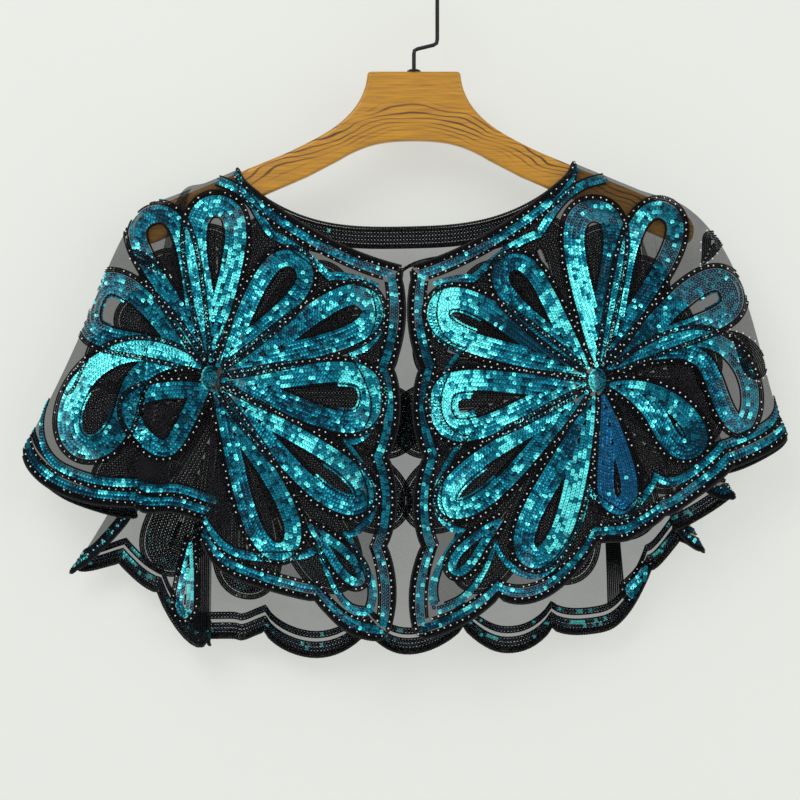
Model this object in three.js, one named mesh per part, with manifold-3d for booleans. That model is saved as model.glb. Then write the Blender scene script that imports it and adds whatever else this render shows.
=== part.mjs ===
// A short sequinned net capelet, open at the front, hung flat on a flat wooden hanger with a
// cranked wire hook. Millimetres, +Z up, +X to the viewer's right, +Y away from the viewer.
// The origin is the point inside the top of the hook that rests on a rail.
import * as THREE from 'three';
import { mergeVertices } from 'three/addons/utils/BufferGeometryUtils.js';
import Module from 'manifold-3d';

const wasm = await Module();
wasm.setup();

// Sizes of the hook and the hanger
const WIRE_RADIUS = 1.6;
const HOOK_RADIUS = 18.8;
const HOOK_CENTRE_Z = -(HOOK_RADIUS - WIRE_RADIUS);
const CRANK_Z = -56;
const CRANK_RISE = 4;
const CRANK_BEND = 4;
const WOOD_TOP_Z = -78.4;
const SHANK_DEPTH = 14;
const SHANK_CLEARANCE = 0.35;
const HOOK_SIDES = 10;
const HOOK_STEPS = 40;
const FERRULE_RADIUS = 5.6;
const FERRULE_HEIGHT = 2.2;
const WOOD_THICKNESS = 12;
const WOOD_BEVEL = 2.2;
const BLOCK_HALF_WIDTH = 37.6;
const ARM_START_X = 105;
const ARM_START_Z = -145;
const ARM_SLOPE = 0.41;
const ARM_ROUND_X = 206;
const ARM_END_X = 225;
const ARM_END_Z = -205;
const UNDER_START_X = 86;
const UNDER_START_Z = -163;
const UNDER_SLOPE = 0.43;
const UNDER_ARCH_Z = -134;

// Sizes of the cloth
const WALL = 1.4;
const SEAM_GAP = 0.3;
const CREST_LIFT = 3.2;
const ROLL_RADIUS = 10;
const NECK_LEFT_X = -139;
const NECK_RIGHT_X = 126;
const NECK_TURN = 3;
const FRONT_V_Z = -236;
const FRONT_NECK_SAG = 10;
const BACK_NECK_DEPTH = 41;
const BACK_NECK_POWER = 3;
const FLARE_POWER = 1.3;
const EDGE_SCALLOPS = [3, 8, 8, 7];
const SCALLOP_ROUNDNESS = 0.8;
const FOLD_RADIUS = 2.5;
const FOLD_TOP_SPREAD = 1.2;
const COLUMN_SPACING = 13;
const TOP_CLIMB = 3;
const DROP_ROWS = 12;
const ROLL_ANGLES = [0, 30, 60];
const CORD_RADIUS = 0.9;
const CORD_SIDES = 5;
const MITRE_LIMIT = 0.4;
const CORD_END_TRIM = 0.4;

// Shape of each side's edges: bow of the centre front edge, and bulge of the cloth past the arm.
const SIDES = {
  left: { sign: -1, edgeBow: -6, bulge: 45, bulgeFade: 3, edgeTopX: -10, neckX: NECK_LEFT_X },
  right: { sign: 1, edgeBow: 9, bulge: 90, bulgeFade: 1.5, edgeTopX: -2, neckX: NECK_RIGHT_X },
};

// One row for each fold line of the cloth, from the neckline or shoulder down to the hem.
// topX: where it starts; hemX, hemZ, hemY: where it ends; swing: above 1 it moves sideways late;
// bulge: its share of the bulge past the arm; drop: depth of the scallop that starts here, and
// null inside a scallop; fold: 1 where the cloth turns back on itself, which takes a rounded loop.
const COLUMNS = ['name', 'topX', 'hemX', 'hemZ', 'hemY', 'swing', 'bulge', 'drop', 'fold'];
const FRONT_LEFT = [
  ['edge', -10, -22, -530, -22, 1, 0, 11, 0],
  ['first_belly', -35, -50, -516, -32, 1, 0, null, 0],
  ['first_notch', -63, -78, -500, -38, 1, 0, 14, 0],
  ['second_belly', -91, -120, -480, -34, 1, 0, null, 0],
  ['pleat_start', -120, -148, -465, -40, 1, 0, null, 0],
  ['neck_turn', -137.5, -160, -457, -43, 1.4, 0, null, 0],
  ['pleat_ridge', -144.5, -166, -455, -42, 1.8, 0, 0, 1],
  ['pleat_valley', -153.5, -150, -440, -31, 1.6, 0, 9, 1],
  ['strip', -163, -190, -422, -29, 1.2, 0, null, 0],
  ['strip_ridge', -172, -218, -428, -31, 1.4, 0, 0, 1],
  ['strip_valley', -180, -202, -424, -18, 1.8, 0, 15, 1],
  ['wing', -189, -250, -414, -16, 1.1, 0.3, null, 0],
  ['wing_outer', -198, -286, -400, -12, 1, 0.7, null, 0],
  ['wing_turn', -205, -307, -388, -7, 1, 1, null, 0],
];
const SIDE_LEFT = ['side_seam', -210, -314, -382, 0, 1, 1, 10, 0];
const BACK = [
  ['wing_back_turn', -205, -306, -392, 7, 1, 1, null, 0],
  ['wing_back', -199, -278, -414, 10, 1, 0.7, null, 0],
  ['left_valley', -192, -230, -436, 15, 1.5, 0.3, 4, 1],
  ['left_point', -183, -274, -479, 25, 2.2, 0.3, 4, 1],
  ['left_return', -175, -240, -474, 31, 1.4, 0.1, 6, 0],
  ['left_fall', -167, -208, -498, 29, 1.2, 0, 15, 0],
  ['flute_ridge', -159, -168, -537, 15, 1, 0, 0, 1],
  ['flute_valley', -150, -181, -534, 27, 1.8, 0, 6, 1],
  ['left_panel', -143.5, -148, -530, 32, 1, 0, null, 0],
  ['neck_turn_left', -137.5, -139, -531, 31, 1, 0, null, 0],
  ['notch_1', -115, -121, -529, 25, 1, 0, 23, 0],
  ['belly_1', -78, -79, -528, 31, 1, 0, null, 0],
  ['notch_2', -40, -38, -528, 24, 1, 0, 22, 0],
  ['belly_2', -4, -3, -526, 30, 1, 0, null, 0],
  ['notch_3', 34, 40, -525, 24, 1, 0, 21, 0],
  ['belly_3', 72, 76, -526, 31, 1, 0, null, 0],
  ['notch_4', 107, 112, -526, 25, 1, 0, 22, 0],
  ['neck_turn_right', 124.5, 150, -511, 30, 1, 0, null, 0],
  ['belly_4', 130, 172, -498, 30, 1, 0, null, 0],
  ['notch_5', 142, 192, -480, 27, 1, 0, 4, 0],
  ['right_panel', 151, 216, -456, 31, 1.3, 0, 2, 0],
  ['right_low_point', 159, 234, -464, 31, 2, 0, 3, 1],
  ['right_low_valley', 167, 214, -446, 23, 1.5, 0, 2, 1],
  ['right_point', 175, 256, -421, 21, 2, 0.2, 6, 1],
  ['right_valley', 184, 228, -404, 13, 1.5, 0.3, 4, 1],
  ['right_wing_back', 190, 262, -394, 9, 1.1, 0.6, null, 0],
  ['right_back_turn', 194, 293, -378, 6, 1, 1, null, 0],
];
const SIDE_RIGHT = ['side_seam', 198, 300, -370, 0, 1, 1, 4, 0];
const FRONT_RIGHT = [
  ['wing_turn', 194, 292, -375, -7, 1, 1, null, 0],
  ['wing', 188, 268, -387, -13, 1.1, 0.5, null, 0],
  ['wing_valley', 180, 236, -401, -16, 1.7, 0, 0, 1],
  ['wing_ridge', 170, 251, -396, -30, 1.2, 0, 5, 1],
  ['fourth_belly', 157, 225, -413, -33, 1, 0, null, 0],
  ['third_notch', 141, 198, -433, -39, 1, 0, 9, 0],
  ['third_belly', 130, 175, -441, -36, 1, 0, null, 0],
  ['neck_turn', 124.5, 166, -445, -36, 1, 0, null, 0],
  ['second_notch', 105, 144, -454, -40, 1, 0, 21, 0],
  ['second_belly', 77, 106, -476, -33, 1, 0, null, 0],
  ['first_notch', 49, 67, -497, -38, 1, 0, 10, 0],
  ['first_belly', 21, 34, -512, -32, 1, 0, null, 0],
  ['edge', -2, 2, -530, -22, 1, 0, 0, 0],
];

// Domed sequin clusters at the middle of each embroidered flower
const HUB_HALF_WIDTH = 7;
const HUB_HALF_HEIGHT = 10.5;
const HUB_RISE = 2.6;
const HUB_RIM = 0.8;
const HUB_LIFT = 0.45;
const HUBS = [
  { name: 'flower_hub_front_left', x: -163, z: -325, face: -1 },
  { name: 'flower_hub_front_right', x: 146, z: -327, face: -1 },
  { name: 'flower_hub_back_left', x: -152, z: -330, face: 1 },
  { name: 'flower_hub_back_right', x: 139, z: -330, face: 1 },
];

const NET = { color: 0x1c1d20, roughness: 0.8, metalness: 0, side: THREE.DoubleSide };
const CORD = { color: 0x0b0b0d, roughness: 0.7, metalness: 0 };
const SEQUIN = { color: 0x0f8ea3, roughness: 0.25, metalness: 0.8 };
const WOOD = { color: 0xc58a3a, roughness: 0.4, metalness: 0 };
const WIRE = { color: 0x101012, roughness: 0.35, metalness: 0.9 };

// Small helpers
const mix = (a, b, t) => a + (b - a) * t;
const clamp = (t, low, high) => Math.min(high, Math.max(low, t));
const point = (x, y, z) => new THREE.Vector3(x, y, z);

// Fold lines from table rows. A fold takes two lines, one on each side of its loop.
function toRibs(rows, face) {
  return rows.flatMap((row) => {
    const rib = Object.fromEntries(COLUMNS.map((column, k) => [column, row[k]]));
    Object.assign(rib, { face, edge: rib.name === 'edge' ? 1 : 0 });
    if (!rib.fold) return [rib];
    const sideSign = rib.topX < 0 ? -1 : 1;
    return [-1, 1].map((end) => ({
      ...rib,
      topX: rib.topX + end * face * FOLD_TOP_SPREAD,
      hemY: rib.hemY - end * sideSign * FOLD_RADIUS,
      drop: end < 0 ? 0 : rib.drop,
    }));
  });
}

// The whole cloth as one run of fold lines, from the left front edge round the back to the right one
const FRONT_LEFT_RIBS = toRibs(FRONT_LEFT, -1);
const BACK_RIBS = toRibs(BACK, 1);
const RIBS = [
  ...FRONT_LEFT_RIBS,
  ...toRibs([SIDE_LEFT], 0),
  ...BACK_RIBS,
  ...toRibs([SIDE_RIGHT], 0),
  ...toRibs(FRONT_RIGHT, -1),
];
const LEFT_SEAM = FRONT_LEFT_RIBS.length;
const RIGHT_SEAM = LEFT_SEAM + BACK_RIBS.length + 1;
const LAST_RIB = RIBS.length - 1;

// Top edge of the wooden arm, and the line of the cloth over it
const armTopZ = (x) => ARM_START_Z - ARM_SLOPE * (Math.abs(x) - ARM_START_X);
const crestZ = (x) => armTopZ(x) + CREST_LIFT;

// Height of the neckline or shoulder line at x, on the front or the back. At the neck points the
// edge turns up round the arm to its crest.
function topZ(x, face) {
  const side = x < (NECK_LEFT_X + NECK_RIGHT_X) / 2 ? SIDES.left : SIDES.right;
  const past = side.sign * (x - side.neckX);
  if (face === 0 || past >= NECK_TURN) return crestZ(x);
  if (past >= 0) return crestZ(x) - ROLL_RADIUS * (1 - Math.sin((Math.PI / 2) * (past / NECK_TURN)));
  if (face < 0) {
    const t = clamp((x - side.edgeTopX) / (side.neckX - side.edgeTopX), 0, 1);
    const neckPointZ = crestZ(side.neckX) - ROLL_RADIUS;
    return mix(FRONT_V_Z, neckPointZ, t) - FRONT_NECK_SAG * 4 * t * (1 - t);
  }
  const across = (x - NECK_LEFT_X) / (NECK_RIGHT_X - NECK_LEFT_X);
  const neckPointZ = mix(crestZ(NECK_LEFT_X), crestZ(NECK_RIGHT_X), across) - ROLL_RADIUS;
  const out = Math.abs(2 * across - 1);
  return neckPointZ - BACK_NECK_DEPTH * (1 - out ** BACK_NECK_POWER);
}

// Smooth curve through four values, the Catmull-Rom rule
function curve(a, b, c, d, t) {
  return 0.5 * (2 * b + (c - a) * t + (2 * a - 5 * b + 4 * c - d) * t * t
    + (3 * b - a - 3 * c + d) * t * t * t);
}

// The fold line at u, where whole numbers are the rows of the tables
function ribAt(u) {
  const i = clamp(Math.floor(u), 0, LAST_RIB - 1);
  const t = u - i;
  const at = (k) => RIBS[clamp(k, 0, LAST_RIB)];
  const rib = {};
  for (const key of ['topX', 'hemX', 'hemZ', 'hemY', 'swing', 'bulge', 'face', 'edge'])
    rib[key] = curve(at(i - 1)[key], at(i)[key], at(i + 1)[key], at(i + 2)[key], t);
  rib.hemZ -= scallopDrop(u);
  rib.edge = clamp(rib.edge, 0, 1);
  rib.face = clamp(rib.face, -1, 1);
  rib.side = rib.topX < 0 && u < LAST_RIB / 2 ? SIDES.left : SIDES.right;
  return rib;
}

// How far the scalloped hem hangs below the line through its notches, at u
function scallopDrop(u) {
  let start = clamp(Math.floor(u), 0, LAST_RIB);
  while (RIBS[start].drop === null) start -= 1;
  let end = start + 1;
  while (end < LAST_RIB && RIBS[end].drop === null) end += 1;
  const t = clamp((u - start) / (end - start), 0, 1);
  return RIBS[start].drop * Math.sin(Math.PI * t) ** SCALLOP_ROUNDNESS;
}

// How far the centre front edge bulges towards the other front, at fall from 0 to 1 down it
function edgeScallop(fall) {
  const s = clamp(fall, 0, 0.9999) * EDGE_SCALLOPS.length;
  const k = Math.floor(s);
  return EDGE_SCALLOPS[k] * Math.sin(Math.PI * (s - k)) ** SCALLOP_ROUNDNESS;
}

// A point of the cloth's middle surface. The first rows roll over the arm, the rest fall to the hem.
function clothPoint(u, row) {
  const rib = ribAt(u);
  const startZ = topZ(rib.topX, rib.face);
  const rolled = row < ROLL_ANGLES.length;
  const rollAngle = rolled ? THREE.MathUtils.degToRad(ROLL_ANGLES[row]) : 0;
  const rollDrop = rolled ? ROLL_RADIUS * (1 - Math.cos(rollAngle)) : ROLL_RADIUS;
  const fall = rolled ? 0 : (row - ROLL_ANGLES.length) / DROP_ROWS;
  const z = mix(startZ - rollDrop, rib.hemZ, fall);
  const v = (startZ - z) / (startZ - rib.hemZ);
  const { sign, edgeBow, bulge, bulgeFade } = rib.side;
  const sideways = v ** rib.swing;
  const x = mix(rib.topX, rib.hemX, sideways)
    + sign * rib.bulge * bulge * Math.sqrt(v) * (1 - v) ** bulgeFade
    + rib.edge * (edgeBow * Math.sin(Math.PI * v) - sign * edgeScallop(fall));
  const depth = clamp(1 - (crestZ(rib.topX) - z) / ROLL_RADIUS, 0, 1);
  const roll = rib.face * ROLL_RADIUS * Math.sqrt(1 - depth * depth);
  const flare = (rib.hemY - rib.face * ROLL_RADIUS) * v ** FLARE_POWER;
  return point(x, roll + flare, z);
}

// The cloth's middle points and outward directions, over one range of fold lines
const ROWS = ROLL_ANGLES.length + DROP_ROWS;
function clothGrid(uStart, uEnd) {
  const samples = [];
  for (let k = uStart; k < uEnd; k += 1) {
    const [a, b] = [RIBS[k], RIBS[k + 1]];
    const span = Math.hypot(b.hemX - a.hemX, b.hemY - a.hemY);
    const climb = Math.abs(topZ(a.topX, a.face) - topZ(b.topX, b.face));
    const steps = clamp(Math.round(Math.max(span / COLUMN_SPACING, climb / TOP_CLIMB)), 2, 4);
    for (let i = 0; i < steps; i += 1) samples.push(k + i / steps);
  }
  samples.push(uEnd);
  return samples.map((u) => Array.from({ length: ROWS + 1 }, (_, row) =>
    ({ at: clothPoint(u, row), out: clothNormal(u, row), row })));
}

function clothNormal(u, row) {
  const step = 0.25;
  const along = clothPoint(Math.min(u + step, LAST_RIB), row)
    .sub(clothPoint(Math.max(u - step, 0), row));
  const rib = ribAt(u);
  const onCrest = row === 0 && topZ(rib.topX, rib.face) >= crestZ(rib.topX) - 1e-6;
  if (onCrest && Math.abs(rib.face) < 0.5) {
    const fall = clothPoint(u, 1).sub(clothPoint(u, 0));
    return point(rib.side.sign * Math.abs(fall.z), 0, Math.abs(fall.x)).normalize();
  }
  const down = onCrest
    ? point(0, Math.sign(rib.face), 0)
    : clothPoint(u, Math.min(row + 1, ROWS)).sub(clothPoint(u, Math.max(row - 1, 0)));
  return down.cross(along).normalize();
}

// Keeps the two sides of a seam apart: each panel stops half a gap short of the seam line
function openSeams(grid, face) {
  const half = SEAM_GAP / 2;
  grid.forEach((column) => column.forEach((vertex) => {
    vertex.at.y = face * Math.max(face * vertex.at.y, half);
  }));
  return grid;
}

// A closed solid from shared points and triangles, faces turned outwards
function solid(points, triangles) {
  const geometry = new THREE.BufferGeometry().setFromPoints(points);
  let volume = 0;
  triangles.forEach(([a, b, c]) => {
    volume += points[a].dot(points[b].clone().cross(points[c]));
  });
  const turned = volume < 0 ? triangles.map(([a, b, c]) => [a, c, b]) : triangles;
  geometry.setIndex(turned.flat());
  geometry.computeVertexNormals();
  return geometry;
}

// A cloth wall of even thickness about a grid of middle points
function wall(grid) {
  const columns = grid.length;
  const rows = grid[0].length;
  const points = [];
  for (const reach of [WALL / 2, -WALL / 2])
    grid.forEach((column) => column.forEach((vertex) =>
      points.push(vertex.at.clone().addScaledVector(vertex.out, reach))));
  const outer = (i, j) => i * rows + j;
  const inner = (i, j) => columns * rows + i * rows + j;
  const triangles = [];
  const quad = (a, b, c, d) => triangles.push([a, b, c], [a, c, d]);
  for (let i = 0; i < columns - 1; i += 1)
    for (let j = 0; j < rows - 1; j += 1) {
      quad(outer(i, j), outer(i + 1, j), outer(i + 1, j + 1), outer(i, j + 1));
      quad(inner(i, j), inner(i, j + 1), inner(i + 1, j + 1), inner(i + 1, j));
    }
  for (let i = 0; i < columns - 1; i += 1) {
    quad(outer(i, 0), inner(i, 0), inner(i + 1, 0), outer(i + 1, 0));
    quad(outer(i + 1, rows - 1), inner(i + 1, rows - 1), inner(i, rows - 1), outer(i, rows - 1));
  }
  for (let j = 0; j < rows - 1; j += 1) {
    quad(outer(0, j + 1), inner(0, j + 1), inner(0, j), outer(0, j));
    quad(outer(columns - 1, j), inner(columns - 1, j), inner(columns - 1, j + 1),
      outer(columns - 1, j + 1));
  }
  return solid(points, triangles);
}

// A round cord through a path of { at, out, away }, where away points off the cloth's edge
function cord(path) {
  const points = [];
  path.forEach(({ at, out, away }) => {
    const centre = at.clone().addScaledVector(away, SEAM_GAP + CORD_RADIUS);
    for (let k = 0; k < CORD_SIDES; k += 1) {
      const angle = (2 * Math.PI * k) / CORD_SIDES;
      points.push(centre.clone()
        .addScaledVector(away, CORD_RADIUS * Math.cos(angle))
        .addScaledVector(out, CORD_RADIUS * Math.sin(angle)));
    }
  });
  const triangles = [];
  for (let i = 0; i < path.length - 1; i += 1)
    for (let k = 0; k < CORD_SIDES; k += 1) {
      const a = i * CORD_SIDES + k;
      const b = i * CORD_SIDES + ((k + 1) % CORD_SIDES);
      triangles.push([a, b, b + CORD_SIDES], [a, b + CORD_SIDES, a + CORD_SIDES]);
    }
  const last = (path.length - 1) * CORD_SIDES;
  for (let k = 1; k < CORD_SIDES - 1; k += 1)
    triangles.push([0, k + 1, k], [last, last + k, last + k + 1]);
  return solid(points, triangles);
}

// Path of a cord along an edge of the cloth. away points off the cloth, longer in the corners, so
// that the cord keeps its distance from both sides of each corner.
function edgePath(edge, inwards) {
  return edge.map((vertex, i) => {
    const off = vertex.at.clone().sub(inwards[i].at);
    const tangents = [[i - 1, i], [i, i + 1]]
      .filter(([a, b]) => edge[a] && edge[b])
      .map(([a, b]) => edge[b].at.clone().sub(edge[a].at).normalize());
    const squares = tangents.map((t) => off.clone().addScaledVector(t, -off.dot(t)).normalize());
    const away = squares.reduce((sum, one) => sum.add(one), point(0, 0, 0)).normalize();
    away.divideScalar(Math.max(away.dot(squares[0]), MITRE_LIMIT));
    return { at: vertex.at, out: vertex.out, away };
  });
}

const column = (grid, i) => grid.at(i);
const rowOf = (grid, j) => grid.map((c) => c.at(j));

const frontLeft = openSeams(clothGrid(0, LEFT_SEAM), -1);
const back = openSeams(clothGrid(LEFT_SEAM, RIGHT_SEAM), 1);
const frontRight = openSeams(clothGrid(RIGHT_SEAM, LAST_RIB), -1);

// Stops a cord short of the side seam
function shortEnd(path) {
  const last = path.at(-1);
  const at = last.at.clone().lerp(path.at(-2).at, CORD_END_TRIM);
  return [...path.slice(0, -1), { ...last, at }];
}

// Cord along a front panel's centre edge and hem. Its path turns the corner in one step.
function frontCord(grid, edgeIndex) {
  const inner = edgeIndex === 0 ? 1 : -2;
  const edge = edgePath(column(grid, edgeIndex), column(grid, inner)).slice(1, -1);
  const hemRow = edgePath(rowOf(grid, -1), rowOf(grid, -2));
  const hem = edgeIndex === 0 ? hemRow : hemRow.reverse();
  const corner = { ...hem[0] };
  corner.away = edge.at(-1).away.clone().add(hem[1].away).normalize()
    .multiplyScalar(Math.SQRT2 * 0.9);
  return cord(shortEnd([...edge, corner, ...hem.slice(1)]));
}

function backHemCord() {
  const path = shortEnd(edgePath(rowOf(back, -1), rowOf(back, -2)));
  return cord(shortEnd(path.reverse()));
}

// Cord round the neck, from the left front point over the arm, round the back and forward again
function neckCord() {
  const centreX = (NECK_LEFT_X + NECK_RIGHT_X) / 2;
  const reach = NECK_TURN + 2;
  const fromCentre = (c) => Math.abs(c[0].at.x - centreX);
  const stops = [frontLeft, back, frontRight].flatMap((grid) => grid
    .map((c, i) => ({ edge: c[0], beyond: stepOut(grid, i, fromCentre)[1] }))
    .filter(({ edge }) => edge.at.x > NECK_LEFT_X - reach && edge.at.x < NECK_RIGHT_X + reach));
  return edgePath(stops.map((s) => s.edge), stops.map((s) => s.beyond));
}

// The next column of a grid away from the neck
function stepOut(grid, i, fromCentre) {
  const [before, after] = [grid[i - 1], grid[i + 1]];
  if (!before || !after) return before ?? after;
  return fromCentre(after) > fromCentre(before) ? after : before;
}

// A dome of sequins that lies on a panel, made from the panel's own surface points
function hub({ x, z, face }, grid) {
  const rings = 3;
  const segments = 12;
  const bottom = [];
  const top = [];
  const place = (dx, dz, r) => {
    const { at, out } = surfaceAt(grid, x + dx, z + dz, face);
    const lift = WALL / 2 + HUB_LIFT;
    bottom.push(at.clone().addScaledVector(out, lift));
    top.push(at.clone().addScaledVector(out, lift + HUB_RIM + HUB_RISE * Math.sqrt(1 - r * r)));
  };
  place(0, 0, 0);
  for (let ring = 1; ring <= rings; ring += 1)
    for (let k = 0; k < segments; k += 1) {
      const r = Math.sin((Math.PI / 2) * (ring / rings));
      const angle = (2 * Math.PI * k) / segments;
      place(r * HUB_HALF_WIDTH * Math.cos(angle), r * HUB_HALF_HEIGHT * Math.sin(angle), r);
    }
  const n = bottom.length;
  const at = (ring, k) => (ring === 0 ? 0 : 1 + (ring - 1) * segments + (k % segments));
  const triangles = [];
  for (let ring = 0; ring < rings; ring += 1)
    for (let k = 0; k < segments; k += 1) {
      const [a, b] = [at(ring, k), at(ring, k + 1)];
      const [c, d] = [at(ring + 1, k), at(ring + 1, k + 1)];
      triangles.push([n + a, n + c, n + d], [a, d, c]);
      if (ring > 0) triangles.push([n + a, n + d, n + b], [a, b, d]);
    }
  for (let k = 0; k < segments; k += 1) {
    const [c, d] = [at(rings, k), at(rings, k + 1)];
    triangles.push([c, d, n + d], [c, n + d, n + c]);
  }
  return solid([...bottom, ...top], triangles);
}

// The cloth's middle surface where a line along Y through x, z first meets it from outside
function surfaceAt(grid, x, z, face) {
  let found = null;
  for (let i = 0; i < grid.length - 1; i += 1)
    for (let j = 0; j < ROWS; j += 1) {
      const [a, b, c, d] = [grid[i][j], grid[i + 1][j], grid[i + 1][j + 1], grid[i][j + 1]];
      for (const corners of [[a, b, c], [a, c, d]]) {
        const share = shares(corners, x, z);
        if (!share) continue;
        const at = point(0, 0, 0);
        const out = point(0, 0, 0);
        corners.forEach((corner, k) => {
          at.addScaledVector(corner.at, share[k]);
          out.addScaledVector(corner.out, share[k]);
        });
        if (!found || (at.y - found.at.y) * face > 0) found = { at, out: out.normalize() };
      }
    }
  return found;
}

// Barycentric shares of x, z in a triangle seen along Y, or null outside it
function shares(corners, x, z) {
  const [a, b, c] = corners.map((corner) => corner.at);
  const area = (b.x - a.x) * (c.z - a.z) - (c.x - a.x) * (b.z - a.z);
  if (Math.abs(area) < 1e-9) return null;
  const s = ((x - a.x) * (c.z - a.z) - (c.x - a.x) * (z - a.z)) / area;
  const t = ((b.x - a.x) * (z - a.z) - (x - a.x) * (b.z - a.z)) / area;
  return s < 0 || t < 0 || s + t > 1 ? null : [1 - s - t, s, t];
}

// Outline of the wooden hanger, drawn as its right half and mirrored
function hangerOutline() {
  const corner = 4;
  const underZ = (x) => UNDER_START_Z - UNDER_SLOPE * (x - UNDER_START_X);
  const steps = [
    ['line', 0, WOOD_TOP_Z],
    ['line', BLOCK_HALF_WIDTH - corner, WOOD_TOP_Z],
    ['curve', BLOCK_HALF_WIDTH, WOOD_TOP_Z, BLOCK_HALF_WIDTH, WOOD_TOP_Z - corner],
    ['curve', BLOCK_HALF_WIDTH + 2.4, -104, 60, -120],
    ['curve', 72, -130, ARM_START_X, ARM_START_Z],
    ['line', ARM_ROUND_X, armTopZ(ARM_ROUND_X)],
    ['curve', ARM_END_X - 1, armTopZ(ARM_END_X - 1), ARM_END_X, ARM_END_Z],
    ['curve', ARM_END_X, underZ(ARM_END_X), ARM_ROUND_X, underZ(ARM_ROUND_X)],
    ['line', UNDER_START_X, UNDER_START_Z],
    ['line', 60, UNDER_START_Z + 13.5],
    ['curve', 44, -139.5, 28, -136.2],
    ['curve', 16, UNDER_ARCH_Z, 0, UNDER_ARCH_Z],
  ];
  const outline = [];
  steps.forEach(([kind, a, b, c, d]) => {
    if (kind === 'line') {
      outline.push(new THREE.Vector2(a, b));
      return;
    }
    const [bend, end] = [new THREE.Vector2(a, b), new THREE.Vector2(c, d)];
    outline.push(...new THREE.QuadraticBezierCurve(outline.at(-1), bend, end).getPoints(5).slice(1));
  });
  const left = outline.slice(1, -1).reverse().map((p) => new THREE.Vector2(-p.x, p.y));
  return new THREE.Shape().setFromPoints([...outline, ...left]);
}

function hangerBody() {
  const geometry = new THREE.ExtrudeGeometry(hangerOutline(), {
    depth: WOOD_THICKNESS - 2 * WOOD_BEVEL,
    bevelThickness: WOOD_BEVEL,
    bevelSize: WOOD_BEVEL,
    bevelOffset: -WOOD_BEVEL,
    bevelSegments: 2,
    curveSegments: 1,
  });
  geometry.rotateX(Math.PI / 2);
  geometry.translate(0, WOOD_THICKNESS / 2 - WOOD_BEVEL, 0);
  const socket = new THREE.CylinderGeometry(WIRE_RADIUS + SHANK_CLEARANCE,
    WIRE_RADIUS + SHANK_CLEARANCE, 2 * SHANK_DEPTH, 12);
  socket.rotateX(Math.PI / 2);
  socket.translate(0, 0, WOOD_TOP_Z);
  return fromManifold(toManifold(geometry).subtract(toManifold(socket)));
}

function toManifold(source) {
  const bare = source.index ? source.toNonIndexed() : source.clone();
  bare.deleteAttribute('normal');
  bare.deleteAttribute('uv');
  const merged = mergeVertices(bare, 1e-4);
  return new wasm.Manifold(new wasm.Mesh({
    numProp: 3,
    vertProperties: merged.attributes.position.array,
    triVerts: new Uint32Array(merged.index.array),
  }));
}

function fromManifold(body) {
  const mesh = body.getMesh();
  const geometry = new THREE.BufferGeometry();
  geometry.setAttribute('position', new THREE.BufferAttribute(mesh.vertProperties.slice(), 3));
  geometry.setIndex(new THREE.BufferAttribute(mesh.triVerts.slice(), 1));
  geometry.computeVertexNormals();
  return geometry;
}

// Centre line of the hook: up out of the wood, a crank to one side, then round over the rail
function hookPath() {
  const path = new THREE.CurvePath();
  const up = (x, z) => point(x, 0, z);
  const lineTo = (a, b) => path.add(new THREE.LineCurve3(a, b));
  const bendTo = (a, corner, b) => path.add(new THREE.QuadraticBezierCurve3(a, corner, b));
  const foot = up(0, WOOD_TOP_Z - SHANK_DEPTH + 1);
  const crankIn = up(0, CRANK_Z - CRANK_RISE - CRANK_BEND);
  const crankStart = up(CRANK_BEND, CRANK_Z - CRANK_RISE + 0.5);
  const crankEnd = up(HOOK_RADIUS - CRANK_BEND, CRANK_Z - 0.5);
  const crankOut = up(HOOK_RADIUS, CRANK_Z + CRANK_BEND);
  const rimStart = up(HOOK_RADIUS, HOOK_CENTRE_Z);
  lineTo(foot, crankIn);
  bendTo(crankIn, up(0, CRANK_Z - CRANK_RISE), crankStart);
  lineTo(crankStart, crankEnd);
  bendTo(crankEnd, up(HOOK_RADIUS, CRANK_Z), crankOut);
  lineTo(crankOut, rimStart);
  const turn = new THREE.EllipseCurve(0, HOOK_CENTRE_Z, HOOK_RADIUS, HOOK_RADIUS, 0, Math.PI * 1.06);
  const rim = turn.getPoints(22).map((p) => up(p.x, p.y));
  path.add(new THREE.CatmullRomCurve3(rim));
  return path;
}

function hangerHook() {
  const circle = new THREE.Shape().absarc(0, 0, WIRE_RADIUS, 0, Math.PI * 2);
  const path = new THREE.CatmullRomCurve3(hookPath().getSpacedPoints(70));
  return new THREE.ExtrudeGeometry(circle, {
    steps: HOOK_STEPS,
    extrudePath: path,
    curveSegments: HOOK_SIDES / 2,
    bevelEnabled: false,
  });
}

function hookFerrule() {
  const bore = WIRE_RADIUS + SHANK_CLEARANCE;
  const low = 0.3;
  const profile = [
    [bore, low], [FERRULE_RADIUS, low], [FERRULE_RADIUS, low + 0.8],
    [FERRULE_RADIUS - 1.6, FERRULE_HEIGHT], [bore, FERRULE_HEIGHT], [bore, low],
  ].map(([r, h]) => new THREE.Vector2(r, h));
  const geometry = new THREE.LatheGeometry(profile, 16);
  geometry.rotateX(Math.PI / 2);
  geometry.translate(0, 0, WOOD_TOP_Z);
  return geometry;
}

function mesh(name, geometry, finish) {
  const made = new THREE.Mesh(geometry, new THREE.MeshStandardMaterial(finish));
  made.name = name;
  return made;
}

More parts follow.
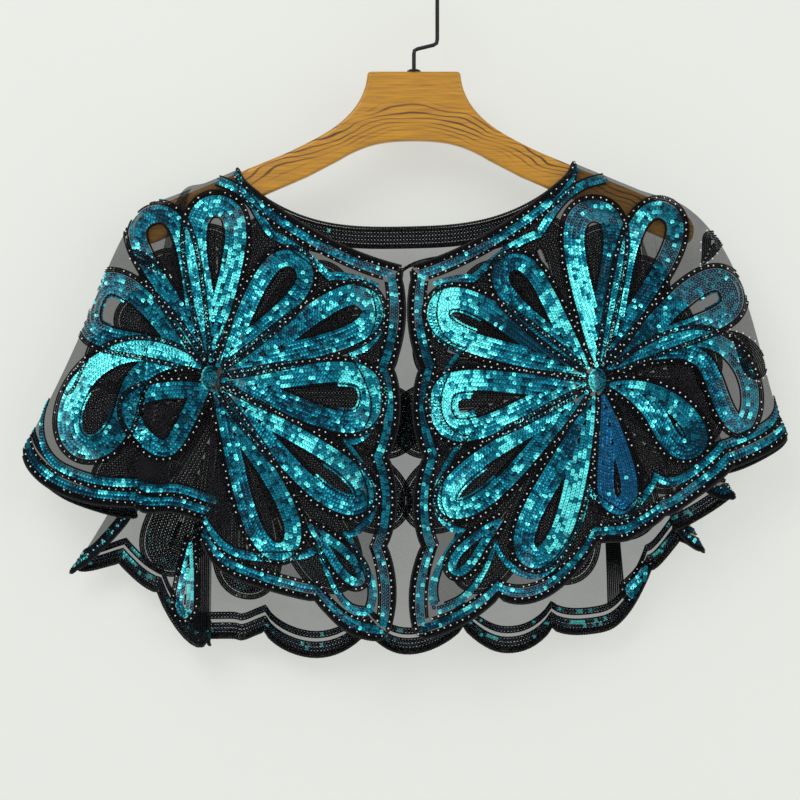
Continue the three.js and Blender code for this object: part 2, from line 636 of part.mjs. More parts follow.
const capelet = new THREE.Group();
capelet.add(
  mesh('front_left_panel', wall(frontLeft), NET),
  mesh('front_right_panel', wall(frontRight), NET),
  mesh('back_panel', wall(back), NET),
  mesh('neck_binding', cord(neckCord()), CORD),
  mesh('edge_binding_left', frontCord(frontLeft, 0), CORD),
  mesh('edge_binding_right', frontCord(frontRight, -1), CORD),
  mesh('hem_binding_back', backHemCord(), CORD),
);
HUBS.forEach((one) => {
  const grid = one.face > 0 ? back : one.x < 0 ? frontLeft : frontRight;
  capelet.add(mesh(one.name, hub(one, grid), SEQUIN));
});

const hanger = new THREE.Group();
hanger.add(
  mesh('hanger_body', hangerBody(), WOOD),
  mesh('hanger_hook', hangerHook(), WIRE),
  mesh('hook_ferrule', hookFerrule(), WIRE),
);

const part = new THREE.Group();
part.add(capelet, hanger);
export default part;
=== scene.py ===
"""A sequinned net capelet on a flat wooden hanger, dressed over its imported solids."""
import math

import bmesh
import bpy
import numpy as np
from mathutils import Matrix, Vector
from mathutils.bvhtree import BVHTree


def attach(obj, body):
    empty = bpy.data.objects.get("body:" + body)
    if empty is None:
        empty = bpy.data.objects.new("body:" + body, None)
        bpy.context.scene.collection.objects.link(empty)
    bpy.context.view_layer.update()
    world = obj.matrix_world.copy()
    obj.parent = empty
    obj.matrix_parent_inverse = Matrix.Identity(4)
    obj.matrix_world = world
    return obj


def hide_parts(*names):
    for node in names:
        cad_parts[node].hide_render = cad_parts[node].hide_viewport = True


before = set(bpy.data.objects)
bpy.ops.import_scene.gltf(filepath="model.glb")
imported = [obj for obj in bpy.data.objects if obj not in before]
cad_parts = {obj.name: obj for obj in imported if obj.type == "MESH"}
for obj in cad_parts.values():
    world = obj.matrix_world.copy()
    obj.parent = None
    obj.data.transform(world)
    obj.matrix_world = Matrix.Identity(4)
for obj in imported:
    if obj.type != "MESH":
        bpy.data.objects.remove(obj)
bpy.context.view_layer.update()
MM = 0.001
TINY = 1e-9
chance = np.random.default_rng(11)

# The cloth's sizes in millimetres: the solids' own, but for one scallop and some folds' swings
ARM_START_X, ARM_START_Z, ARM_SLOPE = 105.0, -145.0, 0.41
CREST_LIFT, ROLL_RADIUS = 3.2, 10.0
NECK_LEFT_X, NECK_RIGHT_X, NECK_TURN = -139.0, 126.0, 3.0
FRONT_V_Z, FRONT_NECK_SAG = -236.0, 10.0
BACK_NECK_DEPTH, BACK_NECK_POWER = 41.0, 3.0
FLARE_POWER = 1.3
VIEWER_Y = 200.0
EDGE_SCALLOPS = (6, 8, 8, 7)
SCALLOP_ROUNDNESS = 0.8
FOLD_RADIUS, FOLD_TOP_SPREAD = 2.5, 1.2
ROLL_ANGLES = (0, 15, 30, 45, 60, 75)
DROP_ROWS = 60
COLUMNS_PER_LINE = 8
SEAM_HALF_GAP = 0.15
SIDES = {
    -1: {"edge_bow": -6, "bulge": 45, "fade": 3, "edge_x": -10, "neck_x": NECK_LEFT_X},
    1: {"edge_bow": 9, "bulge": 90, "fade": 1.5, "edge_x": -2, "neck_x": NECK_RIGHT_X},
}

# A front's centre edge is its line whose hem is here
FRONT_CORNER_Z = -530
# Each fold line: top x, hem x, hem z, hem y, swing, bulge share, drop of the scallop that starts
# there (None inside a scallop), and 1 where the cloth turns back on itself
FRONT_LEFT = [
    (-10, -22, -530, -22, 1, 0, 11, 0),
    (-35, -50, -516, -32, 1, 0, None, 0),
    (-63, -78, -500, -38, 1, 0, 14, 0),
    (-91, -120, -480, -34, 1, 0, None, 0),
    (-120, -148, -465, -40, 1, 0, None, 0),
    (-137.5, -160, -457, -43, 1.4, 0, None, 0),
    (-144.5, -166, -455, -42, 0.9, 0, 0, 1),
    (-153.5, -150, -440, -31, 1.2, 0, 9, 1),
    (-163, -190, -422, -29, 1.2, 0, None, 0),
    (-172, -218, -428, -31, 0.4, 0, 0, 1),
    (-180, -202, -424, -18, 0.6, 0, 15, 1),
    (-189, -250, -414, -16, 1.1, 0.3, None, 0),
    (-198, -286, -400, -12, 1, 0.7, None, 0),
    (-205, -307, -388, -7, 1, 1, None, 0),
]
SIDE_LEFT = [(-210, -314, -382, 0, 1, 1, 10, 0)]
BACK = [
    (-205, -306, -392, 7, 1, 1, None, 0),
    (-199, -278, -414, 10, 1, 0.7, None, 0),
    (-192, -230, -436, 15, 1.5, 0.3, 4, 1),
    (-183, -274, -479, 25, 2.2, 0.3, 4, 1),
    (-175, -240, -474, 31, 1.4, 0.1, 6, 0),
    (-167, -208, -498, 29, 1.2, 0, 15, 0),
    (-159, -168, -537, 15, 1, 0, 0, 1),
    (-150, -181, -534, 27, 1.8, 0, 6, 1),
    (-143.5, -148, -530, 32, 1, 0, None, 0),
    (-137.5, -139, -531, 31, 1, 0, None, 0),
    (-115, -121, -529, 25, 1, 0, 23, 0),
    (-78, -79, -528, 31, 1, 0, None, 0),
    (-40, -38, -528, 24, 1, 0, 22, 0),
    (-4, -3, -526, 30, 1, 0, None, 0),
    (34, 40, -525, 24, 1, 0, 21, 0),
    (72, 76, -526, 31, 1, 0, None, 0),
    (107, 112, -526, 25, 1, 0, 22, 0),
    (124.5, 150, -511, 30, 1, 0, None, 0),
    (130, 172, -498, 30, 1, 0, None, 0),
    (142, 192, -480, 27, 1, 0, 4, 0),
    (151, 216, -456, 31, 1.3, 0, 2, 0),
    (159, 234, -464, 31, 2, 0, 3, 1),
    (167, 214, -446, 23, 1.5, 0, 2, 1),
    (175, 256, -421, 21, 2, 0.2, 6, 1),
    (184, 228, -404, 13, 1.5, 0.3, 4, 1),
    (190, 262, -394, 9, 1.1, 0.6, None, 0),
    (194, 293, -378, 6, 1, 1, None, 0),
]
SIDE_RIGHT = [(198, 300, -370, 0, 1, 1, 4, 0)]
FRONT_RIGHT = [
    (194, 292, -375, -7, 1, 1, None, 0),
    (188, 268, -387, -13, 1.1, 0.5, None, 0),
    (180, 236, -401, -16, 1.7, 0, 0, 1),
    (170, 251, -396, -30, 1.2, 0, 5, 1),
    (157, 225, -413, -33, 1, 0, None, 0),
    (141, 198, -433, -39, 1, 0, 9, 0),
    (130, 175, -441, -36, 1, 0, None, 0),
    (124.5, 166, -445, -36, 1, 0, None, 0),
    (105, 144, -454, -40, 1, 0, 21, 0),
    (77, 106, -476, -33, 1, 0, None, 0),
    (49, 67, -497, -38, 1, 0, 10, 0),
    (21, 34, -512, -32, 1, 0, None, 0),
    (-2, 2, -530, -22, 1, 0, 0, 0),
]


def mix(a, b, t):
    return a + (b - a) * t


def unit(rows):
    """Each row scaled to a length of 1."""
    return rows / np.maximum(np.linalg.norm(rows, axis=-1, keepdims=True), TINY)


def square_to(rows, axis):
    """Each row without its share along the axis beside it, which has a length of 1."""
    return rows - axis * np.sum(rows * axis, axis=1, keepdims=True)


def right_of(headings):
    """Each flat direction turned a quarter to its right."""
    return np.stack([headings[:, 1], -headings[:, 0]], 1)


def run_length(points):
    """Each point's distance from the first one, along their line."""
    return np.concatenate([[0], np.cumsum(np.linalg.norm(np.diff(points, axis=0), axis=1))])


def read_off(stops, s, rows):
    """The rows' values at new stops along their line, whose own stops are s."""
    return np.stack([np.interp(stops, s, rows[:, k]) for k in range(rows.shape[1])], -1)


def smooth(rows, times):
    for _ in range(times):
        rows[1:-1] = (rows[:-2] + 2 * rows[1:-1] + rows[2:]) / 4
    return rows


def fold_lines(rows, face):
    """Fold lines with their values in order; a fold takes two, one on each side of its loop."""
    lines, drops = [], []
    for top_x, hem_x, hem_z, hem_y, swing, bulge, drop, fold in rows:
        edge = 1 if hem_z == FRONT_CORNER_Z and face < 0 else 0
        for end in (-1, 1) if fold else (0,):
            side = -1 if top_x < 0 else 1
            lines.append([top_x + end * face * FOLD_TOP_SPREAD, hem_x, hem_z,
                          hem_y - end * side * FOLD_RADIUS, swing, bulge, face, edge])
            drops.append(0 if end < 0 else drop)
    return lines, drops


PARTS = [fold_lines(*each) for each in
         ((FRONT_LEFT, -1), (SIDE_LEFT, 0), (BACK, 1), (SIDE_RIGHT, 0), (FRONT_RIGHT, -1))]
LINES = np.array([line for lines, _ in PARTS for line in lines], float)
DROPS = [drop for _, drops in PARTS for drop in drops]
LEFT_SEAM = len(PARTS[0][0])
RIGHT_SEAM = LEFT_SEAM + len(PARTS[2][0]) + 1
LAST = len(LINES) - 1


def crest_z(x):
    return ARM_START_Z - ARM_SLOPE * (abs(x) - ARM_START_X) + CREST_LIFT


def top_z(x, face):
    """Height of the neckline or shoulder line at x."""
    sign = -1 if x < (NECK_LEFT_X + NECK_RIGHT_X) / 2 else 1
    side = SIDES[sign]
    past = sign * (x - side["neck_x"])
    if face == 0 or past >= NECK_TURN:
        return crest_z(x)
    if past >= 0:
        return crest_z(x) - ROLL_RADIUS * (1 - math.sin(math.pi / 2 * past / NECK_TURN))
    if face < 0:
        t = min(1, max(0, (x - side["edge_x"]) / (side["neck_x"] - side["edge_x"])))
        neck_point_z = crest_z(side["neck_x"]) - ROLL_RADIUS
        return mix(FRONT_V_Z, neck_point_z, t) - FRONT_NECK_SAG * 4 * t * (1 - t)
    across = (x - NECK_LEFT_X) / (NECK_RIGHT_X - NECK_LEFT_X)
    neck_point_z = mix(crest_z(NECK_LEFT_X), crest_z(NECK_RIGHT_X), across) - ROLL_RADIUS
    return neck_point_z - BACK_NECK_DEPTH * (1 - abs(2 * across - 1) ** BACK_NECK_POWER)


def scallop_span(u):
    """Start line, end line and how far along it, 0 to 1, of the hem's scallop at u."""
    start = int(min(LAST, max(0, math.floor(u))))
    while DROPS[start] is None:
        start -= 1
    end = start + 1
    while end < LAST and DROPS[end] is None:
        end += 1
    return start, end, min(1, max(0, (u - start) / (end - start)))


def line_at(u):
    i = int(min(LAST - 1, max(0, math.floor(u))))
    t = u - i
    a, b, c, d = (LINES[min(LAST, max(0, k))] for k in (i - 1, i, i + 1, i + 2))
    line = 0.5 * (2 * b + (c - a) * t + (2 * a - 5 * b + 4 * c - d) * t * t
                  + (3 * b - a - 3 * c + d) * t ** 3)
    start, _, along = scallop_span(u)
    line[2] -= DROPS[start] * max(0, math.sin(math.pi * along)) ** SCALLOP_ROUNDNESS
    return line


def edge_scallop(fall):
    s = np.clip(fall, 0, 0.9999) * len(EDGE_SCALLOPS)
    k = np.floor(s).astype(int)
    return np.array(EDGE_SCALLOPS)[k] * np.sin(math.pi * (s - k)) ** SCALLOP_ROUNDNESS


def cloth_column(u):
    """Points of the cloth from its top edge to its hem along one line."""
    top_x, hem_x, hem_z, hem_y, swing, bulge_share, face, edge = line_at(u)
    face, edge = min(1, max(-1, face)), min(1, max(0, edge))
    sign = -1 if top_x < 0 and u < LAST / 2 else 1
    side = SIDES[sign]
    start_z = top_z(top_x, face)
    rolls = np.radians(ROLL_ANGLES)
    falls = np.arange(DROP_ROWS + 1) / DROP_ROWS
    z = np.concatenate([start_z - ROLL_RADIUS * (1 - np.cos(rolls)),
                        mix(start_z - ROLL_RADIUS, hem_z, falls)])
    fall = np.concatenate([np.zeros(len(rolls)), falls])
    v = (start_z - z) / (start_z - hem_z)
    x = (mix(top_x, hem_x, v ** swing)
         + sign * bulge_share * side["bulge"] * np.sqrt(v) * np.clip(1 - v, 0, 1) ** side["fade"]
         + edge * (side["edge_bow"] * np.sin(math.pi * v) - sign * edge_scallop(fall)))
    depth = np.clip(1 - (crest_z(top_x) - z) / ROLL_RADIUS, 0, 1)
    y = (face * ROLL_RADIUS * np.sqrt(1 - depth ** 2)
         + (hem_y - face * ROLL_RADIUS) * v ** FLARE_POWER)
    return np.stack([x, y, z], 1)


class Panel:
    """One cut piece of net: its points, outward directions and distances from its edges."""

    def __init__(self, u_start, u_end, face, edge_first):
        self.face = face
        self.u = np.linspace(u_start, u_end, (u_end - u_start) * COLUMNS_PER_LINE + 1)
        self.at = np.array([cloth_column(u) for u in self.u])
        self.at[..., 1] = face * np.maximum(face * self.at[..., 1], SEAM_HALF_GAP)
        self.out = unit(np.cross(np.gradient(self.at, axis=0), np.gradient(self.at, axis=1)))
        drops = np.linalg.norm(np.diff(self.at, axis=1), axis=2)
        self.from_top = np.pad(np.cumsum(drops, 1), ((0, 0), (1, 0)))
        self.from_hem = self.from_top[:, -1:] - self.from_top
        steps = np.linalg.norm(np.diff(self.at, axis=0), axis=2)
        first = np.pad(np.cumsum(steps, 0), ((1, 0), (0, 0)))
        self.from_edge = first if edge_first else first[-1:] - first
        index = np.arange(self.from_top.size).reshape(self.from_top.shape)
        quads = np.stack([index[:-1, :-1], index[1:, :-1], index[1:, 1:], index[:-1, 1:]], -1)
        self.points, self.quads = self.at.reshape(-1, 3), quads.reshape(-1, 4)
        self.tree = BVHTree.FromPolygons(self.points.tolist(), self.quads.tolist())

    def surface(self, x, z, inside=False):
        """The first point of the cloth seen along Y, with its direction towards the viewer."""
        face = -self.face if inside else self.face
        viewer = Vector((x, face * VIEWER_Y, z))
        at, normal, _, _ = self.tree.ray_cast(viewer, Vector((0, -face, 0)))
        if at is None:
            return None
        if normal.y * face < 0:
            normal.negate()
        return np.array(at), np.array(normal)

    def line_from(self, distance, column):
        """Point and direction at a distance along one column from its top (or hem, if below 0)."""
        s = self.from_top[column]
        want = distance if distance >= 0 else s[-1] + distance
        return (read_off(want, s, self.at[column]), read_off(want, s, self.out[column]),
                np.interp(want, s, self.from_edge[column]))


def add_object(name, data):
    added = bpy.data.objects.new(name, data)
    bpy.context.scene.collection.objects.link(added)
    return added


def polygon_mesh(name, points, faces, finish, smooth_shading=True, colour_and_painted_light=None):
    """A mesh piece from points in millimetres, with a finish and perhaps a colour with painted light
    for each point.
    """
    mesh = bpy.data.meshes.new(name)
    mesh.from_pydata((np.asarray(points) * MM).tolist(), [],
                     faces if isinstance(faces, list) else faces.tolist())
    if colour_and_painted_light is not None:
        layer = mesh.color_attributes.new("colour_and_painted_light", "FLOAT_COLOR", "POINT")
        layer.data.foreach_set("color", np.asarray(colour_and_painted_light, np.float32).ravel())
    mesh.polygons.foreach_set("use_smooth", [smooth_shading] * len(mesh.polygons))
    mesh.update()
    mesh.materials.append(finish)
    return add_object(name, mesh)


# Colours and finishes
def nodes_of(material):
    material.use_nodes = True
    tree = material.node_tree
    tree.nodes.clear()
    shader = tree.nodes.new("ShaderNodeBsdfPrincipled")
    out = tree.nodes.new("ShaderNodeOutputMaterial")
    tree.links.new(shader.outputs[0], out.inputs[0])
    return tree, shader


def set_inputs(node, **values):
    """Sets inputs, named with a low line for a space, or links another node's output to them."""
    for label, value in values.items():
        way_in = node.inputs[label.replace("_", " ")]
        if isinstance(value, bpy.types.NodeSocket):
            node.id_data.links.new(value, way_in)
        else:
            way_in.default_value = value


def group(name, inputs, build):
    """A shader node group with named float inputs and one output."""
    tree = bpy.data.node_groups.new(name, "ShaderNodeTree")
    for label, value in inputs.items():
        socket = tree.interface.new_socket(label, in_out="INPUT", socket_type="NodeSocketFloat")
        socket.default_value = value
    tree.interface.new_socket("Value", in_out="OUTPUT", socket_type="NodeSocketFloat")
    way_in = tree.nodes.new("NodeGroupInput")
    way_out = tree.nodes.new("NodeGroupOutput")
    tree.links.new(build(tree, way_in), way_out.inputs[0])
    return tree


def place(tree, node_group, **values):
    node = tree.nodes.new("ShaderNodeGroup")
    node.node_tree = node_group
    set_inputs(node, **values)
    return node.outputs[0]


def math_node(tree, operation, *values, clamp=False):
    node = tree.nodes.new("ShaderNodeMath")
    node.operation = operation
    node.use_clamp = clamp
    for way_in, value in zip(node.inputs, values):
        if isinstance(value, bpy.types.NodeSocket):
            tree.links.new(value, way_in)
        else:
            way_in.default_value = value
    return node.outputs[0]


def scaled(tree, value, factor, plus, clamp=False):
    return math_node(tree, "MULTIPLY_ADD", value, factor, plus, clamp=clamp)


def object_place(tree):
    return tree.nodes.new("ShaderNodeTexCoord").outputs["Object"]


def noise(tree, scale, detail, vector=None):
    node = tree.nodes.new("ShaderNodeTexNoise")
    set_inputs(node, Scale=scale, Detail=detail, Vector=vector or object_place(tree))
    return node.outputs["Fac"]


def stretched(tree, scale, turn=(0, 0, 0)):
    mapping = tree.nodes.new("ShaderNodeMapping")
    set_inputs(mapping, Scale=scale, Rotation=turn, Vector=object_place(tree))
    return mapping.outputs[0]


def ramp(tree, factor, stops):
    node = tree.nodes.new("ShaderNodeValToRGB")
    elements = node.color_ramp.elements
    while len(elements) < len(stops):
        elements.new(0.5)
    for element, (position, colour) in zip(elements, stops):
        element.position = position
        element.color = (*colour, 1)
    tree.links.new(factor, node.inputs[0])
    return node.outputs[0]


def bump(tree, shader, height, strength, distance):
    node = tree.nodes.new("ShaderNodeBump")
    set_inputs(node, Strength=strength, Distance=distance, Height=height)
    set_inputs(shader, Normal=node.outputs[0])


def build_weave(tree, way_in):
    """Threads of a fine net: two crossed sets of lines, broken up by a slow unevenness."""
    waves = []
    for turn in (math.radians(45), math.radians(-45)):
        node = tree.nodes.new("ShaderNodeTexWave")
        node.wave_type, node.bands_direction = "BANDS", "X"
        set_inputs(node, Scale=way_in.outputs["Threads"],
                   Vector=stretched(tree, (1, 1, 1), (0, turn, 0)))
        waves.append(node.outputs["Fac"])
    lines = math_node(tree, "MAXIMUM", *waves)
    return scaled(tree, noise(tree, 38.0, 3.0), way_in.outputs["Unevenness"], lines)


def build_grain(tree, way_in):
    """Fine dark lines that follow the arms and arch over in the block, 0 light to 1 dark."""
    spot = tree.nodes.new("ShaderNodeSeparateXYZ")
    tree.links.new(object_place(tree), spot.inputs[0])
    x, z = spot.outputs["X"], spot.outputs["Z"]
    wander = noise(tree, 1.0, 1.0, stretched(tree, (22, 30, 48)))
    shoulder = math_node(tree, "SQRT", scaled(tree, x, x, 0.0012))
    level = scaled(tree, shoulder, 0.44, z)
    arch = scaled(tree, wander, 0.016, level)
    wave = math_node(tree, "SINE", math_node(tree, "MULTIPLY", arch, way_in.outputs["Lines"]))
    thin = math_node(tree, "POWER", scaled(tree, wave, 0.5, 0.5), 8.0)
    off_band = math_node(tree, "ABSOLUTE", math_node(tree, "ADD", level, way_in.outputs["Band"]))
    band = scaled(tree, off_band, -95.0, 1.35, clamp=True)
    uneven = scaled(tree, noise(tree, 1.0, 1.0, stretched(tree, (14, 20, 40))), 3.4, -1.15, True)
    strong = scaled(tree, math_node(tree, "MULTIPLY", band, uneven), 1.1, 0.05)
    fine = scaled(tree, noise(tree, 1.0, 3.0, stretched(tree, (40, 200, 900))), 0.75, -0.24)
    return scaled(tree, thin, strong, fine, clamp=True)


# How close the net's threads and the grain's lines lie, and how far down most of the lines are
NET_THREADS, GRAIN_LINES, GRAIN_BAND = 420.0, 1500.0, 0.099
WEAVE = group("net_weave", {"Threads": NET_THREADS, "Unevenness": 0.5}, build_weave)
GRAIN = group("wood_grain", {"Lines": GRAIN_LINES, "Band": GRAIN_BAND}, build_grain)


def net_finish():
    """Sheer black net: mostly open, so that two layers read much darker than one."""
    material = bpy.data.materials.new("sheer_black_net")
    tree, shader = nodes_of(material)
    weave = place(tree, WEAVE, Threads=NET_THREADS, Unevenness=0.5)
    threads = ramp(tree, weave, [(0.2, (0.003, 0.003, 0.004)), (1.0, (0.010, 0.010, 0.012))])
    set_inputs(shader, Base_Color=threads, Alpha=scaled(tree, weave, 0.16, 0.34, clamp=True),
               Roughness=0.75, Specular_IOR_Level=0.1)
    bump(tree, shader, weave, 0.15, 0.0002)
    return material


def sequin_finish(name, back_strength, depth):
    """Metallic sequins: their colours with painted highlight and shade in front, and duller, darker
    backs that carry the same painted light.
    """
    material = bpy.data.materials.new(name)
    tree, shader = nodes_of(material)
    colour_and_painted_light = tree.nodes.new("ShaderNodeAttribute")
    colour_and_painted_light.attribute_name = "colour_and_painted_light"
    geometry = tree.nodes.new("ShaderNodeNewGeometry")
    blend = tree.nodes.new("ShaderNodeMix")
    blend.data_type = "RGBA"
    tree.links.new(geometry.outputs["Backfacing"], blend.inputs[0])
    tree.links.new(colour_and_painted_light.outputs["Color"], blend.inputs[6])
    dull = tree.nodes.new("ShaderNodeGamma")
    set_inputs(dull, Gamma=depth, Color=colour_and_painted_light.outputs["Color"])
    faint = tree.nodes.new("ShaderNodeVectorMath")
    faint.operation = "SCALE"
    set_inputs(faint, Scale=back_strength)
    tree.links.new(dull.outputs[0], faint.inputs[0])
    tree.links.new(faint.outputs[0], blend.inputs[7])
    set_inputs(shader, Base_Color=blend.outputs[2], Metallic=0.93, Specular_IOR_Level=0.6,
               Roughness=scaled(tree, noise(tree, 900.0, 2.0), 0.18, 0.2))
    return material


def bead_finish(name, dark, light, roughness, metallic):
    material = bpy.data.materials.new(name)
    tree, shader = nodes_of(material)
    speckle = noise(tree, 700.0, 1.0)
    set_inputs(shader, Base_Color=ramp(tree, speckle, [(0.35, dark), (0.65, light)]),
               Roughness=scaled(tree, speckle, 0.2, roughness), Metallic=metallic,
               Specular_IOR_Level=0.5 if metallic else 0.15)
    return material


def wood_finish():
    material = bpy.data.materials.new("varnished_oak")
    tree, shader = nodes_of(material)
    grain = place(tree, GRAIN, Lines=GRAIN_LINES, Band=GRAIN_BAND)
    stops = [(0.0, (0.52, 0.250, 0.008)), (0.2, (0.40, 0.180, 0.006)),
             (0.45, (0.22, 0.082, 0.004)), (0.9, (0.06, 0.019, 0.002))]
    set_inputs(shader, Base_Color=ramp(tree, grain, stops), Coat_Weight=0.18,
               Roughness=scaled(tree, grain, 0.12, 0.28), Coat_Roughness=0.15)
    bump(tree, shader, grain, 0.06, 0.0004)
    return material


NET = net_finish()
SEQUINS = sequin_finish("teal_sequins", 0.12, 2.0)
# The hem's sequin backs show their painted glints brighter and their painted shade darker
HEM_SEQUINS = sequin_finish("teal_hem_sequins", 1.3, 1.25)
BLACK_BEADS = bead_finish("black_beads", (0.001, 0.001, 0.0015), (0.004, 0.005, 0.007), 0.3, 0.0)
SILVER_BEADS = bead_finish("silver_beads", (0.8, 0.86, 0.88), (0.98, 0.99, 1.0), 0.15, 0.1)
CORD = bead_finish("black_cord", (0.003, 0.003, 0.004), (0.016, 0.016, 0.019), 0.45, 0.0)
WIRE = bead_finish("black_wire", (0.006, 0.006, 0.007), (0.02, 0.02, 0.022), 0.22, 0.7)
WOOD = wood_finish()

# Sequin colours, in linear light: teal in painted shade, a middle teal and teal in painted highlight
# are lit and shaded copies of one colour; blue and black are tones
PAINTED_HIGHLIGHT_TEAL = np.array((0.13, 0.93, 0.98))
MID = np.array((0.005, 0.16, 0.235))
PAINTED_SHADE_TEAL = np.array((0.0015, 0.034, 0.062))
BLUE = np.array((0.006, 0.085, 0.20))
NIGHT = np.array((0.003, 0.008, 0.014))
SEQUIN_RADIUS, SEQUIN_HOLE, SEQUIN_CUP, SEQUIN_SIDES = 1.8, 0.48, 0.3, 7
SEQUIN_PITCH, ROW_PITCH, SEQUIN_LIFT = 2.6, 3.3, 0.75
# How far a sequin leans onto the next one, how much that differs, and how much it rolls
LEAN, LEAN_SPREAD, ROLL_SPREAD = 0.16, 0.05, 0.10
# Painted light level at which the teal in painted shade starts to turn to the middle one, and over
# how much, then to the painted highlight
MID_FROM, MID_OVER, BRIGHT_FROM, BRIGHT_OVER = 0.36, 0.16, 0.76, 0.07
# Size of the patches of painted light, share of sequins painted as single glints, and share of a
# tone
PAINTED_LIGHT_PATCH_SIZE, PAINTED_GLINT_SHARE, TONE_SHARE = 42, 0.015, 0.8
BEAD_RADIUS, SILVER_RADIUS = 1.02, 0.84
# Height of a bead's middle over the cloth, in its own radii
BLACK_SEAT, SILVER_SEAT = 0.9, 1.6
BEAD_PITCH, SILVER_PITCH, BEAD_ROW_PITCH = 1.42, 5.6, 1.5
PITCHES = {"sequins": SEQUIN_PITCH, "black": BEAD_PITCH, "silver": SILVER_PITCH}
SILVER_MISSING, SILVER_SCATTER = 0.12, 0.35
PETAL_TAPER, PETAL_ROUNDNESS, PETAL_FULLNESS = 0.85, 6, 0.71
# A drawn path is dropped on the cloth at steps, and a row ends where the cloth jumps further
PATH_STEP, PATH_JUMP, LEVEL_JUMP = 1.2, 9, 30


class Trimmings:
    """Everything sewn on one panel, kept as lists until it is made into pieces."""

    def __init__(self, panel, inside=False):
        self.panel, self.inside = panel, inside
        self.side = "left" if panel.at[0, 0, 0] < 0 else "right"
        self.sequins, self.black, self.silver = [], [], []

    def add_row(self, points, outs, kind, painted_light_level, tone=None):
        """Sews sequins or beads at even steps along a path on the cloth."""
        pitch = PITCHES[kind]
        points, outs = np.asarray(points, float), np.asarray(outs, float)
        if len(points) < 2:
            return
        s = run_length(points)
        if s[-1] < pitch:
            return
        stops = np.arange(pitch / 2, s[-1], pitch)
        at, out = read_off(stops, s, points), read_off(stops, s, outs)
        heading = read_off(stops + 0.5, s, points) - read_off(stops - 0.5, s, points)
        if kind == "silver":
            kept = chance.random(len(at)) > SILVER_MISSING
            at = at[kept] + chance.normal(size=(kept.sum(), 3)) * SILVER_SCATTER
            out, heading = out[kept], heading[kept]
        if kind != "sequins":
            getattr(self, kind).extend(zip(at, out, heading))
            return
        # Painted light: each sequin's level along the row, with runs of painted highlight and shade
        painted_light = np.interp(stops, s, np.broadcast_to(painted_light_level, len(s)))
        painted_light = painted_light + 0.17 * run_noise(stops, 26) + 0.12 * run_noise(stops, 9)
        self.sequins.extend(zip(at, out, heading, painted_light, [tone] * len(at)))


def run_noise(stops, length):
    """A smooth unevenness along one row, new for each row, which lays runs of painted highlight and
    shade.
    """
    phase = chance.uniform(0, 7, 3)
    turns = 2 * math.pi * stops / length
    return (np.sin(turns + phase[0]) + np.sin(turns * 0.57 + phase[1])
            + np.sin(turns * 1.7 + phase[2])) / 1.6


def slow_noise(points, size, seed):
    """A smooth field between about -1 and 1, from a few sines."""
    draw = np.random.default_rng(seed)
    total = np.zeros(len(points))
    for _ in range(5):
        direction = draw.normal(size=3)
        direction *= 2 * math.pi / (size * np.linalg.norm(direction))
        total += np.sin(points @ direction + draw.uniform(0, 7))
    return total / 2.5


def sequin_piece(name, sewn, finish, hole=SEQUIN_HOLE, palette=(PAINTED_SHADE_TEAL, MID, PAINTED_HIGHLIGHT_TEAL)):
    """One mesh of cupped, overlapping sequins, each with its own tilt and a colour that holds
    painted light.
    """
    at, out, ahead, painted_light_level = (np.array([s[k] for s in sewn]) for k in range(4))
    count = len(at)
    out = unit(out)
    ahead = unit(square_to(ahead, out))
    across = np.cross(out, ahead)
    lean = LEAN + LEAN_SPREAD * chance.normal(size=count)
    roll = ROLL_SPREAD * chance.normal(size=count)
    axis_out = unit(out + ahead * lean[:, None] + across * roll[:, None])
    ahead = unit(square_to(ahead, axis_out))
    across = np.cross(axis_out, ahead)
    centre = at + out * SEQUIN_LIFT
    k = np.arange(SEQUIN_SIDES)
    turn = 2 * math.pi * k / SEQUIN_SIDES
    rings = []
    for radius, height in ((SEQUIN_RADIUS, SEQUIN_CUP), (hole, 0)):
        rings.append(centre[:, None] + axis_out[:, None] * height
                     + radius * (ahead[:, None] * np.cos(turn)[None, :, None]
                                 + across[:, None] * np.sin(turn)[None, :, None]))
    points = np.concatenate(rings, 1).reshape(-1, 3)
    after = (k + 1) % SEQUIN_SIDES
    quad = np.stack([k, after, after + SEQUIN_SIDES, k + SEQUIN_SIDES], 1)
    faces = (quad[None] + 2 * SEQUIN_SIDES * np.arange(count)[:, None, None]).reshape(-1, 4)
    # Painted light: each sequin's level, in patches, picks among teal in painted shade, the middle
    # teal and teal in painted highlight; a few are painted as glints
    sequin_painted_light = painted_light_level + 0.14 * slow_noise(at, PAINTED_LIGHT_PATCH_SIZE, 5) + 0.05 * chance.normal(size=count)
    low = np.clip((sequin_painted_light - MID_FROM) / MID_OVER, 0, 1)[:, None]
    high = np.clip((sequin_painted_light - BRIGHT_FROM) / BRIGHT_OVER, 0, 1)[:, None]
    dark, middle, bright = palette
    colour_and_painted_light = mix(mix(dark, middle, low), bright, high)
    for i, (_, _, _, _, tone) in enumerate(sewn):
        if tone is not None:
            colour_and_painted_light[i] = mix(colour_and_painted_light[i], tone, TONE_SHARE)
    colour_and_painted_light[chance.random(count) < PAINTED_GLINT_SHARE] = PAINTED_HIGHLIGHT_TEAL
    colour_and_painted_light *= np.exp(0.12 * chance.normal(size=(count, 1)))
    colours = np.concatenate([np.clip(colour_and_painted_light, 0, 1), np.ones((count, 1))], 1)
    colours = np.repeat(colours, 2 * SEQUIN_SIDES, 0)
    return polygon_mesh(name, points, faces, finish, smooth_shading=False, colour_and_painted_light=colours)


